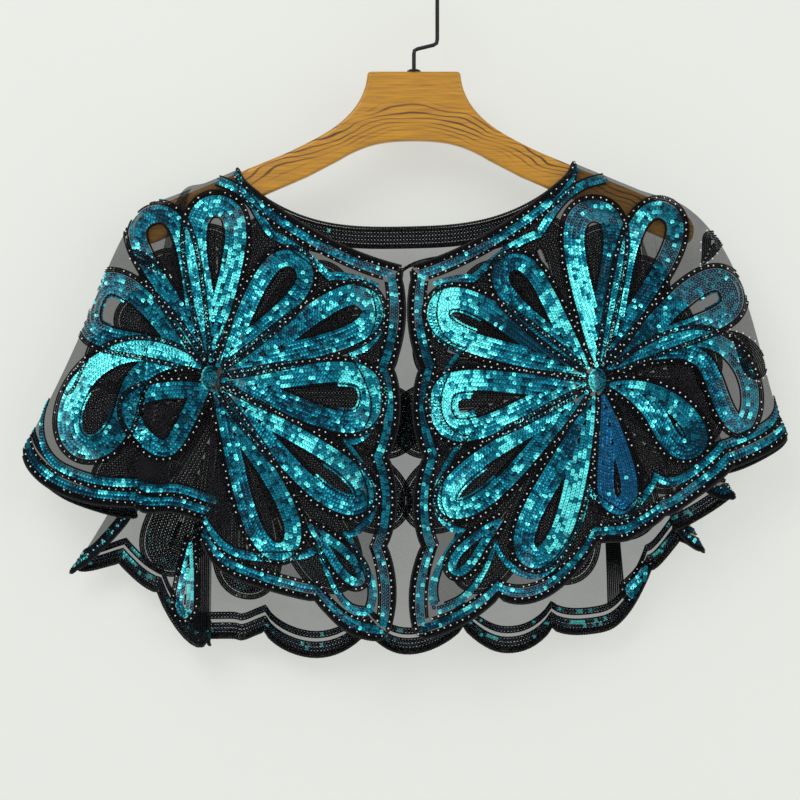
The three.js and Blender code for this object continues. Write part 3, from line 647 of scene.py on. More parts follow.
def bead_piece(name, sewn, radius, finish):
    """One mesh of small faceted beads that sit square to their rows."""
    at, out, heading = (np.array([s[k] for s in sewn]) for k in range(3))
    out = unit(out)
    across = unit(np.cross(out, heading))
    heading = np.cross(across, out)
    side, other = (heading + across) * 0.5 ** 0.5, (heading - across) * 0.5 ** 0.5
    centre = at + out * (radius * (BLACK_SEAT if finish is BLACK_BEADS else SILVER_SEAT))
    corners = [centre + d * radius for d in (side, other, -side, -other, out, -out)]
    points = np.stack(corners, 1).reshape(-1, 3)
    one = np.array([(0, 1, 4), (1, 2, 4), (2, 3, 4), (3, 0, 4),
                    (1, 0, 5), (2, 1, 5), (3, 2, 5), (0, 3, 5)])
    faces = (one[None] + 6 * np.arange(len(at))[:, None, None]).reshape(-1, 3)
    return polygon_mesh(name, points, faces, finish)


# Drawing on the cloth, in millimetres as seen from the front
PX = 0.8
ORIGIN_PX_X = 414
TOP_Z = -22.4


def from_px(x, y):
    return np.array(((x - ORIGIN_PX_X) * PX, TOP_Z - PX * y))


def petal_outline(base, way, tip, width, steps=110):
    """Closed teardrop from a pointed base, by way of a point, to a round tip."""
    base, way, tip = (np.asarray(p, float) for p in (base, way, tip))
    s = (0.5 - 0.5 * np.cos(np.linspace(0, math.pi, steps)))[:, None]
    middle = (1 - s) ** 2 * base + 2 * s * (1 - s) * way + s * s * tip
    square = -right_of(unit(2 * (1 - s) * (way - base) + 2 * s * (tip - way)))
    s = s[:, 0]
    ending = np.sqrt(np.clip(1 - s ** PETAL_ROUNDNESS, 0, 1))
    half = (width / 2 * s ** PETAL_TAPER * ending / PETAL_FULLNESS)[:, None]
    outline = np.concatenate([middle + square * half, (middle - square * half)[-2::-1]])
    return outline, np.concatenate([s, 2 - s[-2::-1]])


def shifted(route, distance):
    """The same line moved to the right of its heading."""
    return route + right_of(unit(np.gradient(route, axis=0))) * distance


def inset(outline, share, distance, tip_only=0.0):
    """The outline moved inwards, without the parts where its two sides would cross."""
    moved = shifted(outline, distance)
    reach = 1 - np.abs(1 - share)
    if distance < 0:
        keep = reach > 0.05
    else:
        gaps = np.linalg.norm(moved[:, None] - outline[None], axis=2).min(1)
        keep = (gaps > distance * 0.93) & (reach >= tip_only)
    return moved[keep], share[keep]


def sew_path(trim, path, kind, painted_light_level=0.5, tone=None):
    """Drops a drawn path onto the cloth, and starts a new row where the cloth breaks away."""
    if len(path) < 2:
        return
    path = np.asarray(path, float)
    s = run_length(path)
    stops = np.arange(0, s[-1], PATH_STEP)
    # The painted light level at each step of the path
    painted_light = np.interp(stops, s, np.broadcast_to(painted_light_level, len(s)))
    points, outs, painted_lights = [], [], []
    for (x, z), bright in zip(read_off(stops, s, path), painted_light):
        found = trim.panel.surface(x, z, trim.inside)
        if found is None or (points and np.linalg.norm(found[0] - points[-1]) > PATH_JUMP):
            trim.add_row(points, outs, kind, painted_lights, tone)
            points, outs, painted_lights = [], [], []
        if found is not None:
            points.append(found[0])
            outs.append(found[1])
            painted_lights.append(bright)
    trim.add_row(points, outs, kind, painted_lights, tone)


# A petal's beaded rows outside its outline; the first sequin row's depth inside it
PETAL_RIM = ((-3.3, "black"), (-1.8, "black"), (-0.3, "black"), (-1.8, "silver"))
FIRST_ROW, TIP_FROM = 2.3, 0.7
# Where round a petal, 0 to 1 out to its tip and on to 2, its three levels of painted light hold
PAINTED_LIGHT_PLACES = (0, 0.62, 1, 1.38, 2)


def petal(trim, base, way, tip, width, rows, tip_rows, painted_lit, tone=None, row_pitch=ROW_PITCH):
    """A teardrop petal: beaded outline, sequin rows inside it, and an open middle."""
    outline, share = petal_outline(base, way, tip, width)
    for distance, kind in PETAL_RIM:
        sew_path(trim, inset(outline, share, distance)[0], kind)
    # Painted light and shade for the petal's one side, its tip and its other side
    left, at_tip, right = painted_lit
    for k in range(rows + tip_rows):
        tip_only = 0.0 if k < rows else TIP_FROM
        path, where = inset(outline, share, FIRST_ROW + row_pitch * k, tip_only)
        painted_light = 0.5 + np.interp(where, PAINTED_LIGHT_PLACES, (left, left, at_tip, right, right))
        sew_path(trim, path, "sequins", painted_light, tone)
    sew_path(trim, inset(outline, share, FIRST_ROW + row_pitch * rows - 0.4)[0], "black")


# Petals in pixels of the view: base, by way of, tip, width, rows, rows more at the tip, then the
# painted light and shade on the side on the left of the heading, the tip and the other side, and a
# tone
RIGHT_PETALS = [
    ((597, 369), (594, 290), (594, 199), 62, 5, 0, (0.35, -0.1, -0.15), None),
    ((601, 365), (634, 290), (668, 202), 58, 4, 0, (0.3, 0.0, -0.1), None),
    ((606, 368), (672, 318), (741, 284), 60, 5, 1, (-0.1, -0.2, 0.0), None),
    ((610, 375), (736, 292), (740, 434), 50, 4, 0, (0.0, 0.05, -0.1), None),
    ((608, 387), (664, 388), (693, 458), 50, 5, 3, (0.05, -0.15, 0.05), None),
    ((604, 392), (616, 450), (617, 514), 42, 4, 0, (-0.3, -0.2, -0.3), BLUE),
    ((594, 396), (570, 470), (526, 566), 56, 5, 0, (0.42, 0.1, -0.05), None),
    ((588, 392), (530, 440), (441, 512), 52, 4, 1, (0.0, 0.3, 0.25), None),
    ((585, 384), (510, 400), (429, 411), 72, 5, 2, (0.15, 0.42, 0.1), None),
    ((586, 376), (520, 345), (429, 302), 60, 5, 1, (0.25, 0.42, -0.2), None),
    ((590, 369), (545, 320), (502, 257), 52, 4, 0, (0.1, -0.15, 0.2), None),
    ((506, 514), (480, 534), (452, 574), 26, 2, 0, (0.1, 0.1, 0.1), None),
]
LEFT_PETALS = [
    ((213, 361), (214, 290), (217, 194), 62, 5, 0, (0.25, 0.1, 0.3), None),
    ((205, 360), (178, 280), (146, 207), 60, 4, 0, (-0.05, 0.05, 0.1), None),
    ((201, 364), (150, 322), (80, 298), 76, 5, 1, (0.1, -0.05, 0.0), None),
    ((199, 352), (100, 330), (86, 460), 76, 5, 1, (0.05, 0.0, 0.5), None),
    ((213, 392), (178, 402), (134, 438), 76, 4, 0, (0.0, 0.0, 0.05), None),
    ((215, 390), (248, 460), (288, 558), 56, 4, 0, (0.0, 0.25, -0.05), None),
    ((219, 388), (280, 440), (370, 507), 54, 4, 1, (0.3, 0.0, 0.0), None),
    ((222, 381), (300, 392), (383, 402), 72, 5, 1, (0.15, 0.1, -0.1), None),
    ((222, 374), (300, 340), (380, 299), 60, 5, 0, (0.0, 0.15, 0.05), None),
    ((218, 366), (255, 320), (303, 254), 56, 4, 0, (0.2, -0.1, 0.05), None),
    ((303, 520), (330, 540), (362, 584), 26, 2, 0, (0.05, 0.0, 0.0), None),
]
# Back petals: direction in degrees, length on the left flower, on the right one, and width
BACK_PETALS = [
    (98, 128, 128, 50), (70, 140, 140, 52), (42, 128, 128, 52), (14, 140, 140, 56),
    (-14, 158, 158, 54), (-38, 178, 178, 52), (-60, 190, 190, 50), (-84, 172, 160, 50),
    (-110, 160, 128, 48), (-138, 136, 112, 46), (-166, 124, 112, 48), (-194, 112, 108, 46),
    (-220, 104, 100, 42), (-243, 118, 112, 42),
]
BACK_PETAL_START, BACK_PETAL_BEND, BACK_ROW_PITCH = 9, 6, 2.95
# Painted light on the back petals' one side, tip and other side
BACK_PETAL_PAINTED_LIGHT = (0.1, 0.1, -0.1)
NECK_WAVE_START, NECK_WAVE_STEP, NECK_WAVE_DEPTH = -10.0, 57.0, 9
NECK_ROW_INSET = 26
# The points of the inner rows: their sharpness, their reach on the hem and on the front edge, and
# the drop of the scallops that gives the full reach
POINT_SHARPNESS, HEM_REACH, EDGE_REACH, FULL_DROP = 0.7, 24, 18, 9
# The fronts' border rows: distance from the edge, kind and painted light level
FRONT_ROWS = (
    (0.5, "black", 0), (1.9, "black", 0), (3.3, "black", 0), (2.6, "silver", 0),
    (6.0, "sequins", 0.42), (9.3, "sequins", 0.52), (12.0, "black", 0), (13.6, "black", 0),
    (12.8, "silver", 0))
# Inner rows: base distance, kind and painted light level
INNER_ROWS = ((16.6, "sequins", 0.62), (19.9, "sequins", 0.45), (22.4, "black", 0))
# The back's hem rows: distance from the hem, kind and painted light level
BACK_HEM_ROWS = (
    (0.5, "black", 0), (1.8, "black", 0), (3.1, "black", 0), (5.4, "sequins", 0.50),
    (8.6, "sequins", 0.62), (10.9, "black", 0), (10.2, "silver", 0), (15.0, "black", 0),
    (17.3, "sequins", 0.54), (19.6, "black", 0))
BACK_NECK_ROWS = ((0.6, "black"), (1.9, "black"), (4.2, "sequins"), (7.2, "sequins"),
                  (10.2, "sequins"), (12.6, "black"), (14.0, "black"), (15.3, "black"))
# The beaded arc inside the back's neck: its depth below the edge, its dip, and where they lie
ARC_DEPTH, ARC_DIP, DIP_X, DIP_WIDTH = 22, 12, -11, 14
ARC_STEPS, ARC_MIDDLE_X, ARC_HALF_WIDTH = (0, 1.6), -6, 105
# The inner neck rows' last stretch, up to the shoulder line, and each row's place beside it
SHOULDER_CURVES = {
    "left": [(273, 236), (262, 221), (254, 205), (241, 191), (229, 184), (216, 180)],
    "right": [(541, 231), (550, 216), (561, 200), (576, 188), (591, 181), (608, 178)],
}
# Shoulder rows: place beside the curve, kind and painted light level
SHOULDER_ROWS = ((-1.6, "sequins", 0.62), (1.6, "sequins", 0.5), (3.9, "black", 0),
                 (-3.9, "black", 0))
NECK_ENDS = {
    "left": [(268, 202), (256, 189), (246, 176), (241, 169)],
    "right": [(549, 198), (560, 185), (569, 171), (573, 164)],
}
# Neck end rows: distance beside the curve, kind and painted light level
NECK_END_ROWS = ((0.6, "black", 0), (1.9, "black", 0), (3.2, "black", 0), (5.6, "sequins", 0.6))
# Black beaded ovals towards the sleeves: base, by way of, tip and width
SLEEVE_OVALS = {
    "left": [((176, 280), (150, 262), (128, 251), 15), ((92, 355), (76, 372), (64, 396), 14)],
    "right": [((700, 268), (712, 250), (716, 230), 24), ((726, 330), (748, 338), (760, 380), 28)],
}
HUB_HALF_WIDTH, HUB_HALF_HEIGHT, HUB_RISE, HUB_LIFT = 5.6, 8.6, 2.6, 1.0
# Rings of a flower's middle, as share of its width and number of sequins
HUB_RINGS = ((0.0, 1), (0.36, 6), (0.68, 12), (0.96, 18))
# How far the middle's sequins splay, their painted light, and the painted shade that darkens the
# middle towards its right
HUB_SPLAY, HUB_PAINTED_LIGHT, HUB_PAINTED_SHADE = 0.75, 0.72, 0.24
# Petals whose base lies this near to the flower's middle start half way towards it
HUB_REACH = 30
HUBS = {"front_left": (-163, -325), "front_right": (146, -327),
        "back_left": (-152, -330), "back_right": (139, -330)}


def inner_distance(panel, column, base):
    """Distance of the inner scalloped row from the hem: it comes to points over the notches."""
    start, end, along = scallop_span(panel.u[column])
    beside, _, _ = scallop_span(start - 0.01 if along < 0.5 else end + 0.01)
    depth = min(1, min(DROPS[start], DROPS[beside]) / FULL_DROP)
    return base + HEM_REACH * depth * (1 - math.sin(math.pi * along) ** POINT_SHARPNESS)


def neck_wave(x):
    """The inner row's points below the neckline, which come at even steps."""
    along = math.pi * (x - NECK_WAVE_START) / NECK_WAVE_STEP
    return NECK_WAVE_DEPTH * (1 - abs(math.sin(along)) ** POINT_SHARPNESS)


def sew_level(trim, distance_of, kind, painted_light_level=0.5, tone=None, clear=0.0, keep=None):
    """A row that keeps a distance from the hem (below 0) or the top edge (above 0)."""
    panel = trim.panel
    points, outs = [], []
    for column in range(len(panel.u)):
        at, out, from_edge = panel.line_from(distance_of(column), column)
        left_out = (panel.face < 0 and from_edge < clear) or (keep and not keep(column))
        if left_out and not points:
            continue
        if points and (left_out or np.linalg.norm(at - points[-1]) > LEVEL_JUMP):
            trim.add_row(points, outs, kind, painted_light_level, tone)
            points, outs = [], []
        points.append(at)
        outs.append(out)
    trim.add_row(points, outs, kind, painted_light_level, tone)


def sew_edge(trim, distance, kind, painted_light_level=0.5, reach=0.0):
    """A row beside a front panel's centre edge, with points between its scallops if reach is set."""
    panel = trim.panel
    order = slice(None) if panel.from_edge[0, 0] == 0 else slice(None, None, -1)
    at, out, far = panel.at[order], panel.out[order], panel.from_edge[order]
    near_end = np.minimum(panel.from_top, panel.from_hem)[order] < distance
    points, outs = [], []
    for row in range(at.shape[1]):
        fall = max(0, row - len(ROLL_ANGLES)) / DROP_ROWS
        s = min(0.9999, fall) * len(EDGE_SCALLOPS)
        point = 1 - math.sin(math.pi * (s - math.floor(s))) ** POINT_SHARPNESS
        want = distance + reach * point
        column = int(np.searchsorted(far[:, row], want))
        if column < len(at) and not near_end[column, row]:
            points.append(read_off(want, far[:, row], at[:, row]))
            outs.append(out[column, row])
    trim.add_row(points, outs, kind, painted_light_level)


def neck_columns(panel):
    reach = NECK_TURN + 1
    return lambda c: NECK_LEFT_X - reach < panel.at[c, 0, 0] < NECK_RIGHT_X + reach


def front_borders(trim):
    panel = trim.panel
    on_neck = neck_columns(panel)

    def on_inner_neck(c):
        return NECK_LEFT_X + NECK_ROW_INSET < panel.at[c, 0, 0] < NECK_RIGHT_X - NECK_ROW_INSET

    for distance, kind, painted_light_level in FRONT_ROWS:
        sew_level(trim, lambda c: -distance, kind, painted_light_level, clear=distance)
        sew_level(trim, lambda c: distance, kind, painted_light_level, clear=distance, keep=on_neck)
        sew_edge(trim, distance, kind, painted_light_level)
    for base, kind, painted_light_level in INNER_ROWS:
        sew_level(trim, lambda c: -inner_distance(panel, c, base), kind, painted_light_level, clear=base)
        sew_edge(trim, base, kind, painted_light_level, reach=EDGE_REACH)
        sew_level(trim, lambda c: base + 2 + neck_wave(panel.at[c, 0, 0]), kind, painted_light_level,
                  clear=base, keep=on_inner_neck)
    into_cloth = -1 if trim.side == "left" else 1
    for curves, rows, way in ((SHOULDER_CURVES, SHOULDER_ROWS, 1),
                              (NECK_ENDS, NECK_END_ROWS, into_cloth)):
        for shift, kind, painted_light_level in rows:
            route = smooth_route([from_px(*spot) for spot in curves[trim.side]])
            sew_path(trim, shifted(route, shift * way), kind, painted_light_level)


def smooth_route(spots, steps=12):
    """A flowing line through a few spots."""
    spots = np.array(spots)
    at = np.linspace(0, len(spots) - 1, steps * (len(spots) - 1) + 1)
    return smooth(read_off(at, np.arange(len(spots)), spots), steps * 3)


def back_borders(trim):
    panel = trim.panel
    for distance, kind, painted_light_level in BACK_HEM_ROWS:
        sew_level(trim, lambda c: -distance, kind, painted_light_level)
    for distance, kind in BACK_NECK_ROWS:
        sew_level(trim, lambda c: distance, kind, 0.1, NIGHT, keep=neck_columns(panel))

    def arc_depth(c):
        return ARC_DEPTH + ARC_DIP * math.exp(-abs(panel.at[c, 0, 0] - DIP_X) / DIP_WIDTH)

    for step in ARC_STEPS:
        sew_level(trim, lambda c: arc_depth(c) + step, "black", 0,
                  keep=lambda c: abs(panel.at[c, 0, 0] - ARC_MIDDLE_X) < ARC_HALF_WIDTH)


def front_flower(trim, petals, hub):
    for base, way, tip, width, rows, tip_rows, painted_lit, tone in petals:
        start = from_px(*base)
        if np.linalg.norm(start - hub) < HUB_REACH:
            start = mix(np.array(hub), start, 0.5)
        petal(trim, start, from_px(*way), from_px(*tip), width * PX, rows, tip_rows, painted_lit, tone)


def sleeve_ovals(trim):
    """Petal shapes packed with black beads, with silver ones on their rims."""
    for *spots, width_px in SLEEVE_OVALS[trim.side]:
        width = width_px * PX
        outline, share = petal_outline(*(from_px(*spot) for spot in spots), width)
        sew_path(trim, inset(outline, share, 0.4)[0], "silver")
        for k in range(int(width / BEAD_ROW_PITCH / 2)):
            sew_path(trim, inset(outline, share, BEAD_ROW_PITCH * k)[0], "black")


def back_flower(trim, hub, side):
    for angle, left_length, right_length, width in BACK_PETALS:
        turn = math.radians(angle if side > 0 else 180 - angle)
        heading = np.array((-math.cos(turn), math.sin(turn)))
        base = np.array(hub) + heading * BACK_PETAL_START
        tip = np.array(hub) + heading * (right_length if side > 0 else left_length)
        way = (base + tip) / 2 + np.array((heading[1], -heading[0])) * BACK_PETAL_BEND * side
        petal(trim, base, way, tip, width, 7, 1, BACK_PETAL_PAINTED_LIGHT, row_pitch=BACK_ROW_PITCH)


def flute_loop(trim):
    """Worked cloth on the back's inner face: a long loop and a band low on the left, and on the
    right a fan of bead rows and a small petal."""
    petal(trim, from_px(190, 530), from_px(184, 580), from_px(181, 622), 21 * PX, 2, 0,
          (0.4, 0.0, 0.1))
    for x in range(193, 208, 2):
        sew_path(trim, [from_px(x, 500), from_px(x - 1, 634)], "black")
    for k in range(9):
        sew_path(trim, [from_px(609 + 1.6 * k, 530), from_px(611 + 1.9 * k, 576),
                        from_px(612 + 2.0 * k, 609 - 1.6 * k)], "black")
    petal(trim, from_px(652, 560), from_px(646, 588), from_px(632, 600), 20 * PX, 2, 0,
          (0.1, 0.0, 0.2))


def flower_middle(name, node, panel, x, z):
    """An oval dome packed with small sequins."""
    at, out, toward = [], [], []
    for r, count in HUB_RINGS:
        for k in range(count):
            angle = 2 * math.pi * k / count
            dx, dz = r * HUB_HALF_WIDTH * math.cos(angle), r * HUB_HALF_HEIGHT * math.sin(angle)
            found, normal = panel.surface(x + dx, z + dz)
            rise = HUB_RISE * math.sqrt(max(0, 1 - r * r))
            at.append(found + normal * (rise + HUB_LIFT))
            spread = np.array((math.cos(angle), 0, math.sin(angle)))
            out.append(normal + spread * HUB_SPLAY * r)
            toward.append(spread + np.array((0.01, 0, 0)))
    # Painted light and shade: the middle is painted lighter on its left and darker on its right
    painted_light_level = [HUB_PAINTED_LIGHT - HUB_PAINTED_SHADE * (spot[0] - x) / HUB_HALF_WIDTH for spot in at]
    piece = sequin_piece(name, list(zip(at, out, toward, painted_light_level, [None] * len(at))), SEQUINS)
    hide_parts(node)
    return piece


CORD_SIDES, CORD_RADIUS, CORD_STEP = 8, 1.0, 1.0
TWIST_DEPTH, TWIST_LENGTH = 0.18, 2.2


def cord_tube(name, node, path):
    """A cord with a fine twist, beside the cloth's edge."""
    at, away, out = (np.array([entry[k] for entry in path]) for k in range(3))
    s = run_length(at)
    stops = np.arange(0, s[-1], CORD_STEP)
    at, away, out = (read_off(stops, s, rows) for rows in (at, away, out))
    away, out = unit(away), unit(out)
    radius = CORD_RADIUS + TWIST_DEPTH * np.sin(stops * 2 * math.pi / TWIST_LENGTH)
    n = len(stops)
    points, faces = [], []
    for k in range(CORD_SIDES):
        angle = 2 * math.pi * k / CORD_SIDES
        points.append(at + away * CORD_RADIUS + radius[:, None]
                      * (away * math.cos(angle) + out * math.sin(angle)))
        a = k * n + np.arange(n - 1)
        b = (k + 1) % CORD_SIDES * n + np.arange(n - 1)
        faces.extend(np.stack([a, b, b + 1, a + 1], 1).tolist())
    for end, turn in ((0, 1), (n - 1, -1)):
        faces.append([k * n + end for k in range(CORD_SIDES)][::turn])
    piece = polygon_mesh(name, np.concatenate(points), faces, CORD)
    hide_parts(node)
    return piece


def edge_path(at, beyond, out):
    """Path entries beside an edge: away points off the cloth, square to the edge."""
    off = unit(square_to(at - beyond, unit(np.gradient(at, axis=0))))
    return list(zip(at, off, out))


def hem_path(panel):
    return edge_path(panel.at[:, -1], panel.at[:, -3], panel.out[:, -1])


def front_path(panel):
    """Down a front's centre edge and along its hem."""
    order = slice(None) if panel.from_edge[0, 0] == 0 else slice(None, None, -1)
    at, out = panel.at[order], panel.out[order]
    down = edge_path(at[0, 3:-1], at[2, 3:-1], out[0, 3:-1])
    along = edge_path(at[:, -1], at[:, -3], out[:, -1])
    return down + along[2:-2]


def neck_path(panels):
    entries = []
    for panel in panels:
        on_neck = neck_columns(panel)
        for c in filter(on_neck, range(len(panel.u))):
            centre = (NECK_LEFT_X + NECK_RIGHT_X) / 2
            far = [k for k in (c - 2, c + 2) if 0 <= k < len(panel.u)]
            beyond = max(far, key=lambda k: abs(panel.at[k, 0, 0] - centre))
            entries.append((panel.at[c, 0], panel.at[beyond, 4], panel.out[c, 0]))
    return edge_path(*(smooth(np.array([e[k] for e in entries]), 7) for k in range(3)))


HANGER_TOP_Z, ARM_END_X, TIP_X = -78.4, 206, 225
UNDER_START_X, UNDER_START_Z, UNDER_SLOPE = 86, -163, 0.43


def curve_to(start, bend, end, steps=14):
    a, b, c = (np.array(p, float) for p in (start, bend, end))
    t = np.linspace(0, 1, steps + 1)[1:, None]
    return [tuple(p) for p in (1 - t) ** 2 * a + 2 * t * (1 - t) * b + t * t * c]


def hanger_outline():
    """Right half of the flat hanger, from its top middle to its under middle."""
    def under(x):
        return UNDER_START_Z - UNDER_SLOPE * (x - UNDER_START_X)

    def arm(x):
        return ARM_START_Z - ARM_SLOPE * (x - ARM_START_X)

    def add_curves(*curves):
        for bend, end in curves:
            points.extend(curve_to(points[-1], bend, end))

    points = [(0, HANGER_TOP_Z), (33.6, HANGER_TOP_Z)]
    add_curves(((37.6, HANGER_TOP_Z), (37.6, -82.4)), ((40, -104), (60, -120)),
               ((72, -130), (ARM_START_X, ARM_START_Z)))
    points.append((ARM_END_X, arm(ARM_END_X)))
    add_curves(((TIP_X - 1, arm(TIP_X - 1)), (TIP_X, -205)),
               ((TIP_X, under(TIP_X)), (ARM_END_X, under(ARM_END_X))))
    points += [(UNDER_START_X, UNDER_START_Z), (60, -149.5)]
    add_curves(((44, -139.5), (28, -136.2)), ((16, -134), (0, -134)))
    return points


def hanger_wood():
    """The wooden body: its outline between two faces, with a softly rounded bevel."""
    right = hanger_outline()
    ring = np.array(right + [(-x, z) for x, z in right[-2:0:-1]])
    before, after = (unit(right_of(step)) for step in
                     (ring - np.roll(ring, 1, 0), np.roll(ring, -1, 0) - ring))
    inward = before + after
    inward /= np.maximum(np.sum(inward * before, 1, keepdims=True), 0.7)
    levels = [(-6.0, 2.2), (-5.75, 1.5), (-5.2, 0.7), (-4.4, 0.15), (-3.8, 0.0)]
    levels += [(-y, d) for y, d in levels[::-1]]
    points = np.concatenate([
        np.stack([ring[:, 0] + inward[:, 0] * d, np.full(len(ring), y),
                  ring[:, 1] + inward[:, 1] * d], 1) for y, d in levels])
    n = len(ring)
    k = np.arange(n)
    faces = []
    for level in range(len(levels) - 1):
        a, b = level * n + k, level * n + (k + 1) % n
        faces += np.stack([a, b, b + n, a + n], 1).tolist()
    faces += [k[::-1].tolist(), (k + (len(levels) - 1) * n).tolist()]
    piece = polygon_mesh("hanger_wood", points, faces, WOOD)
    shell = bmesh.new()
    shell.from_mesh(piece.data)
    bmesh.ops.recalc_face_normals(shell, faces=shell.faces)
    caps = [f for f in shell.faces if len(f.verts) > 4]
    for face in caps:
        face.smooth = False
    bmesh.ops.triangulate(shell, faces=caps)
    shell.to_mesh(piece.data)
    shell.free()
    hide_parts("hanger_body")
    return piece


def hook_wire():
    """The black wire hook, from the drilled wood to its free end."""
    radius, centre_z = 18.8, -17.2
    route = [(0, -91), (0, -64), (0.4, -61.2), (3, -59.8), (15.5, -56.8), (18.2, -55.2),
             (radius, -52), (radius, -30), (radius, centre_z)]
    route += [(radius * math.cos(a), centre_z + radius * math.sin(a))
              for a in np.linspace(0.1, math.pi, 26)]
    curve = bpy.data.curves.new("hook_wire", "CURVE")
    curve.dimensions = "3D"
    curve.bevel_depth = 1.6 * MM
    curve.bevel_resolution = 5
    curve.use_fill_caps = True
    spline = curve.splines.new("POLY")
    spline.points.add(len(route) - 1)
    for spot, (x, z) in zip(spline.points, route):
        spot.co = (x * MM, 0, z * MM, 1)
    spline.use_smooth = True
    curve.materials.append(WIRE)
    piece = add_object("hook_wire", curve)
    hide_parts("hanger_hook")
    return piece


def hook_collar():
    """The small turned collar at the foot of the hook."""
    profile = [(1.95, 0.3), (5.2, 0.3), (5.6, 0.55), (5.6, 0.95), (5.2, 1.3), (4.1, 1.7),
               (3.8, 2.1), (3.4, 2.2), (1.95, 2.2)]
    turns, m = 40, len(profile)
    points, faces = [], []
    for k in range(turns):
        angle = 2 * math.pi * k / turns
        points += [(r * math.cos(angle), r * math.sin(angle), HANGER_TOP_Z + h)
                   for r, h in profile]
        here, there = k * m, (k + 1) % turns * m
        faces += [(here + j, there + j, there + (j + 1) % m, here + (j + 1) % m)
                  for j in range(m)]
    piece = polygon_mesh("hook_collar", points, faces, WIRE)
    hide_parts("hook_ferrule")
    return piece


# Every piece, as name: (object, slot), and what is sewn on each net
pieces = {}
sewn_on = {"net_front_left": [], "net_front_right": [], "net_back": []}


def keep_piece(piece, slot, net_name=None):
    pieces[piece.name] = (piece, slot)
    if net_name:
        sewn_on[net_name].append(piece)


front_left = Panel(0, LEFT_SEAM, -1, True)
back = Panel(LEFT_SEAM, RIGHT_SEAM, 1, True)
front_right = Panel(RIGHT_SEAM, LAST, -1, False)
for name, panel, node in (("net_front_left", front_left, "front_left_panel"),
                          ("net_front_right", front_right, "front_right_panel"),
                          ("net_back", back, "back_panel")):
    net = polygon_mesh(name, panel.points, panel.quads, NET)
    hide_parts(node)
    keep_piece(net, "black_net")

left_trim, right_trim, back_trim, hem_trim = (
    Trimmings(p) for p in (front_left, front_right, back, back))
flute_trim = Trimmings(back, inside=True)
front_borders(left_trim)
front_borders(right_trim)
back_borders(hem_trim)
sleeve_ovals(left_trim)
sleeve_ovals(right_trim)
front_flower(left_trim, LEFT_PETALS, HUBS["front_left"])
front_flower(right_trim, RIGHT_PETALS, HUBS["front_right"])
back_flower(back_trim, HUBS["back_left"], -1)
back_flower(back_trim, HUBS["back_right"], 1)
flute_loop(flute_trim)


def sewn_pieces(net_name, side, trim, finish=SEQUINS, batches=1, **look):
    """Turns one set of trimmings into its sequin and bead pieces."""
    step = -(-len(trim.sequins) // batches)
    for number in range(batches):
        batch = trim.sequins[number * step:(number + 1) * step]
        piece = sequin_piece(f"sequins_{side}_{number + 1}", batch, finish, **look)
        keep_piece(piece, "teal_sequins", net_name)
    keep_piece(bead_piece(f"black_beads_{side}", trim.black, BEAD_RADIUS, BLACK_BEADS),
               "black_cord", net_name)
    keep_piece(bead_piece(f"silver_beads_{side}", trim.silver, SILVER_RADIUS, SILVER_BEADS),
               "teal_sequins", net_name)


sewn_pieces("net_front_left", "front_left", left_trim)
sewn_pieces("net_front_right", "front_right", right_trim)
sewn_pieces("net_back", "back", back_trim, batches=2, hole=0.2)
sewn_pieces("net_back", "back_hem", hem_trim, HEM_SEQUINS, hole=0.15,
            palette=(NIGHT, PAINTED_SHADE_TEAL, PAINTED_HIGHLIGHT_TEAL))
sewn_pieces("net_back", "flute", flute_trim)

for spot_name, (x, z) in HUBS.items():
    panel = {"front_left": front_left, "front_right": front_right}.get(spot_name, back)
    keep_piece(flower_middle(f"flower_middle_{spot_name}", f"flower_hub_{spot_name}", panel, x, z),
               "teal_sequins", "net_back" if panel is back else f"net_{spot_name}")

for name, node, path, net_name in (
        ("neck_cord", "neck_binding", neck_path([front_left, back, front_right]), "net_back"),
        ("edge_cord_left", "edge_binding_left", front_path(front_left), "net_front_left"),
        ("edge_cord_right", "edge_binding_right", front_path(front_right), "net_front_right"),
        ("hem_cord_back", "hem_binding_back", hem_path(back)[3:-3], "net_back")):
    keep_piece(cord_tube(name, node, path), "black_cord", net_name)

keep_piece(hanger_wood(), "varnished_wood")
keep_piece(hook_wire(), "black_wire")
keep_piece(hook_collar(), "black_wire")

for piece, slot in pieces.values():
    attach(piece, "root")


# Room, light and camera
def plain(name, colour, roughness, see_through_back=False, painted_light=0.0):
    material = bpy.data.materials.new(name)
    tree, shader = nodes_of(material)
    darker = tuple(c * 0.97 for c in colour)
    mottle = ramp(tree, noise(tree, 3.0, 4.0), [(0.3, darker), (0.7, colour)])
    # A glow is painted light: the surface gives out light of its own colour
    set_inputs(shader, Base_Color=mottle, Roughness=roughness, Emission_Color=(*colour, 1),
               Emission_Strength=painted_light)
    if see_through_back:
        back_side = tree.nodes.new("ShaderNodeNewGeometry").outputs["Backfacing"]
        set_inputs(shader, Alpha=math_node(tree, "SUBTRACT", 1.0, back_side))
    return material


def plane(name, corners, material):
    mesh = bpy.data.meshes.new(name)
    mesh.from_pydata(corners, [], [(0, 1, 2, 3)])
    mesh.materials.append(material)
    added = add_object(name, mesh)
    return added


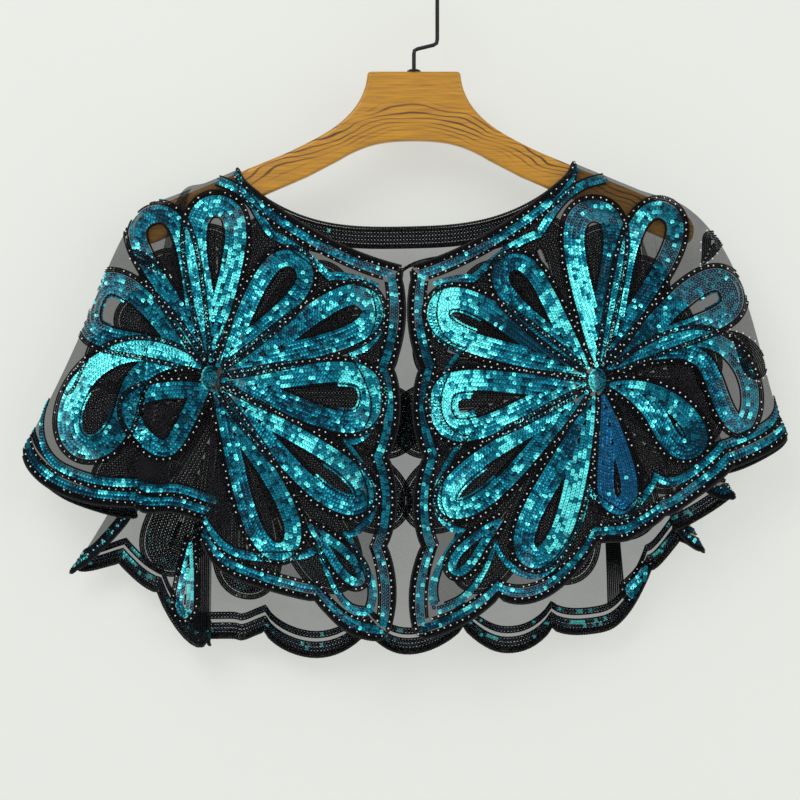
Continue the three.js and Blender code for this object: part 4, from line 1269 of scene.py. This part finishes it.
# In metres; the wall's colour is that of a pale wall, and its glow is painted light that makes the
# shadows on it faint
WALL_Y, WALL_TOP_Z, FLOOR_Z, WALL_HALF, FLOOR_HALF = 0.058, 2.5, -1.25, 4, 6
WALL_COLOUR, WALL_PAINTED_LIGHT = (0.310, 0.3155, 0.302), 1.56
wall = plane("back_wall", [(-WALL_HALF, WALL_Y, FLOOR_Z), (WALL_HALF, WALL_Y, FLOOR_Z),
                           (WALL_HALF, WALL_Y, WALL_TOP_Z), (-WALL_HALF, WALL_Y, WALL_TOP_Z)],
             plain("wall_paint", WALL_COLOUR, 0.9, True, WALL_PAINTED_LIGHT))
wall.visible_shadow = False
plane("floor", [(x * FLOOR_HALF, y * FLOOR_HALF, FLOOR_Z)
                for x, y in ((-1, -1), (1, -1), (1, 1), (-1, 1))],
      plain("floor_paint", (0.76, 0.76, 0.75), 0.8))


def lamp(name, spot, aim, size, power):
    light = bpy.data.lights.new(name, "AREA")
    light.shape = "RECTANGLE"
    light.size, light.size_y = size
    light.energy = power
    added = add_object(name, light)
    added.location = spot
    added.rotation_euler = (Vector(aim) - Vector(spot)).to_track_quat("-Z", "Y").to_euler()


MIDDLE = (-0.011, 0, -0.34)
lamp("key_light", (-0.8, -2.0, 0.9), MIDDLE, (1.2, 1.0), 21)
lamp("fill_light", (1.5, -2.0, 0.1), MIDDLE, (1.4, 1.4), 9)
lamp("back_fill", (0.6, 2.0, 0.8), MIDDLE, (1.6, 1.6), 16)

world = bpy.data.worlds.new("pale_room")
world.use_nodes = True
set_inputs(world.node_tree.nodes["Background"], Color=(0.97, 0.98, 0.95, 1), Strength=0.70)
bpy.context.scene.world = world
bpy.context.scene.view_settings.view_transform = "Standard"

# The camera shows the photograph's frame, which is centred at its pixel 400, 400
CAMERA_Y, FRAME_WIDTH, FRAME_PLANE_Y, SENSOR_WIDTH = -2.4, 0.64, -0.015, 36
camera_data = bpy.data.cameras.new("camera")
camera_data.sensor_width = SENSOR_WIDTH
camera_data.lens = SENSOR_WIDTH * (FRAME_PLANE_Y - CAMERA_Y) / FRAME_WIDTH
camera_data.clip_end = 50
camera = add_object("camera", camera_data)
camera.location = (-0.0112, CAMERA_Y, -0.3424)
camera.rotation_euler = (math.radians(90), 0, 0)
bpy.context.scene.camera = camera
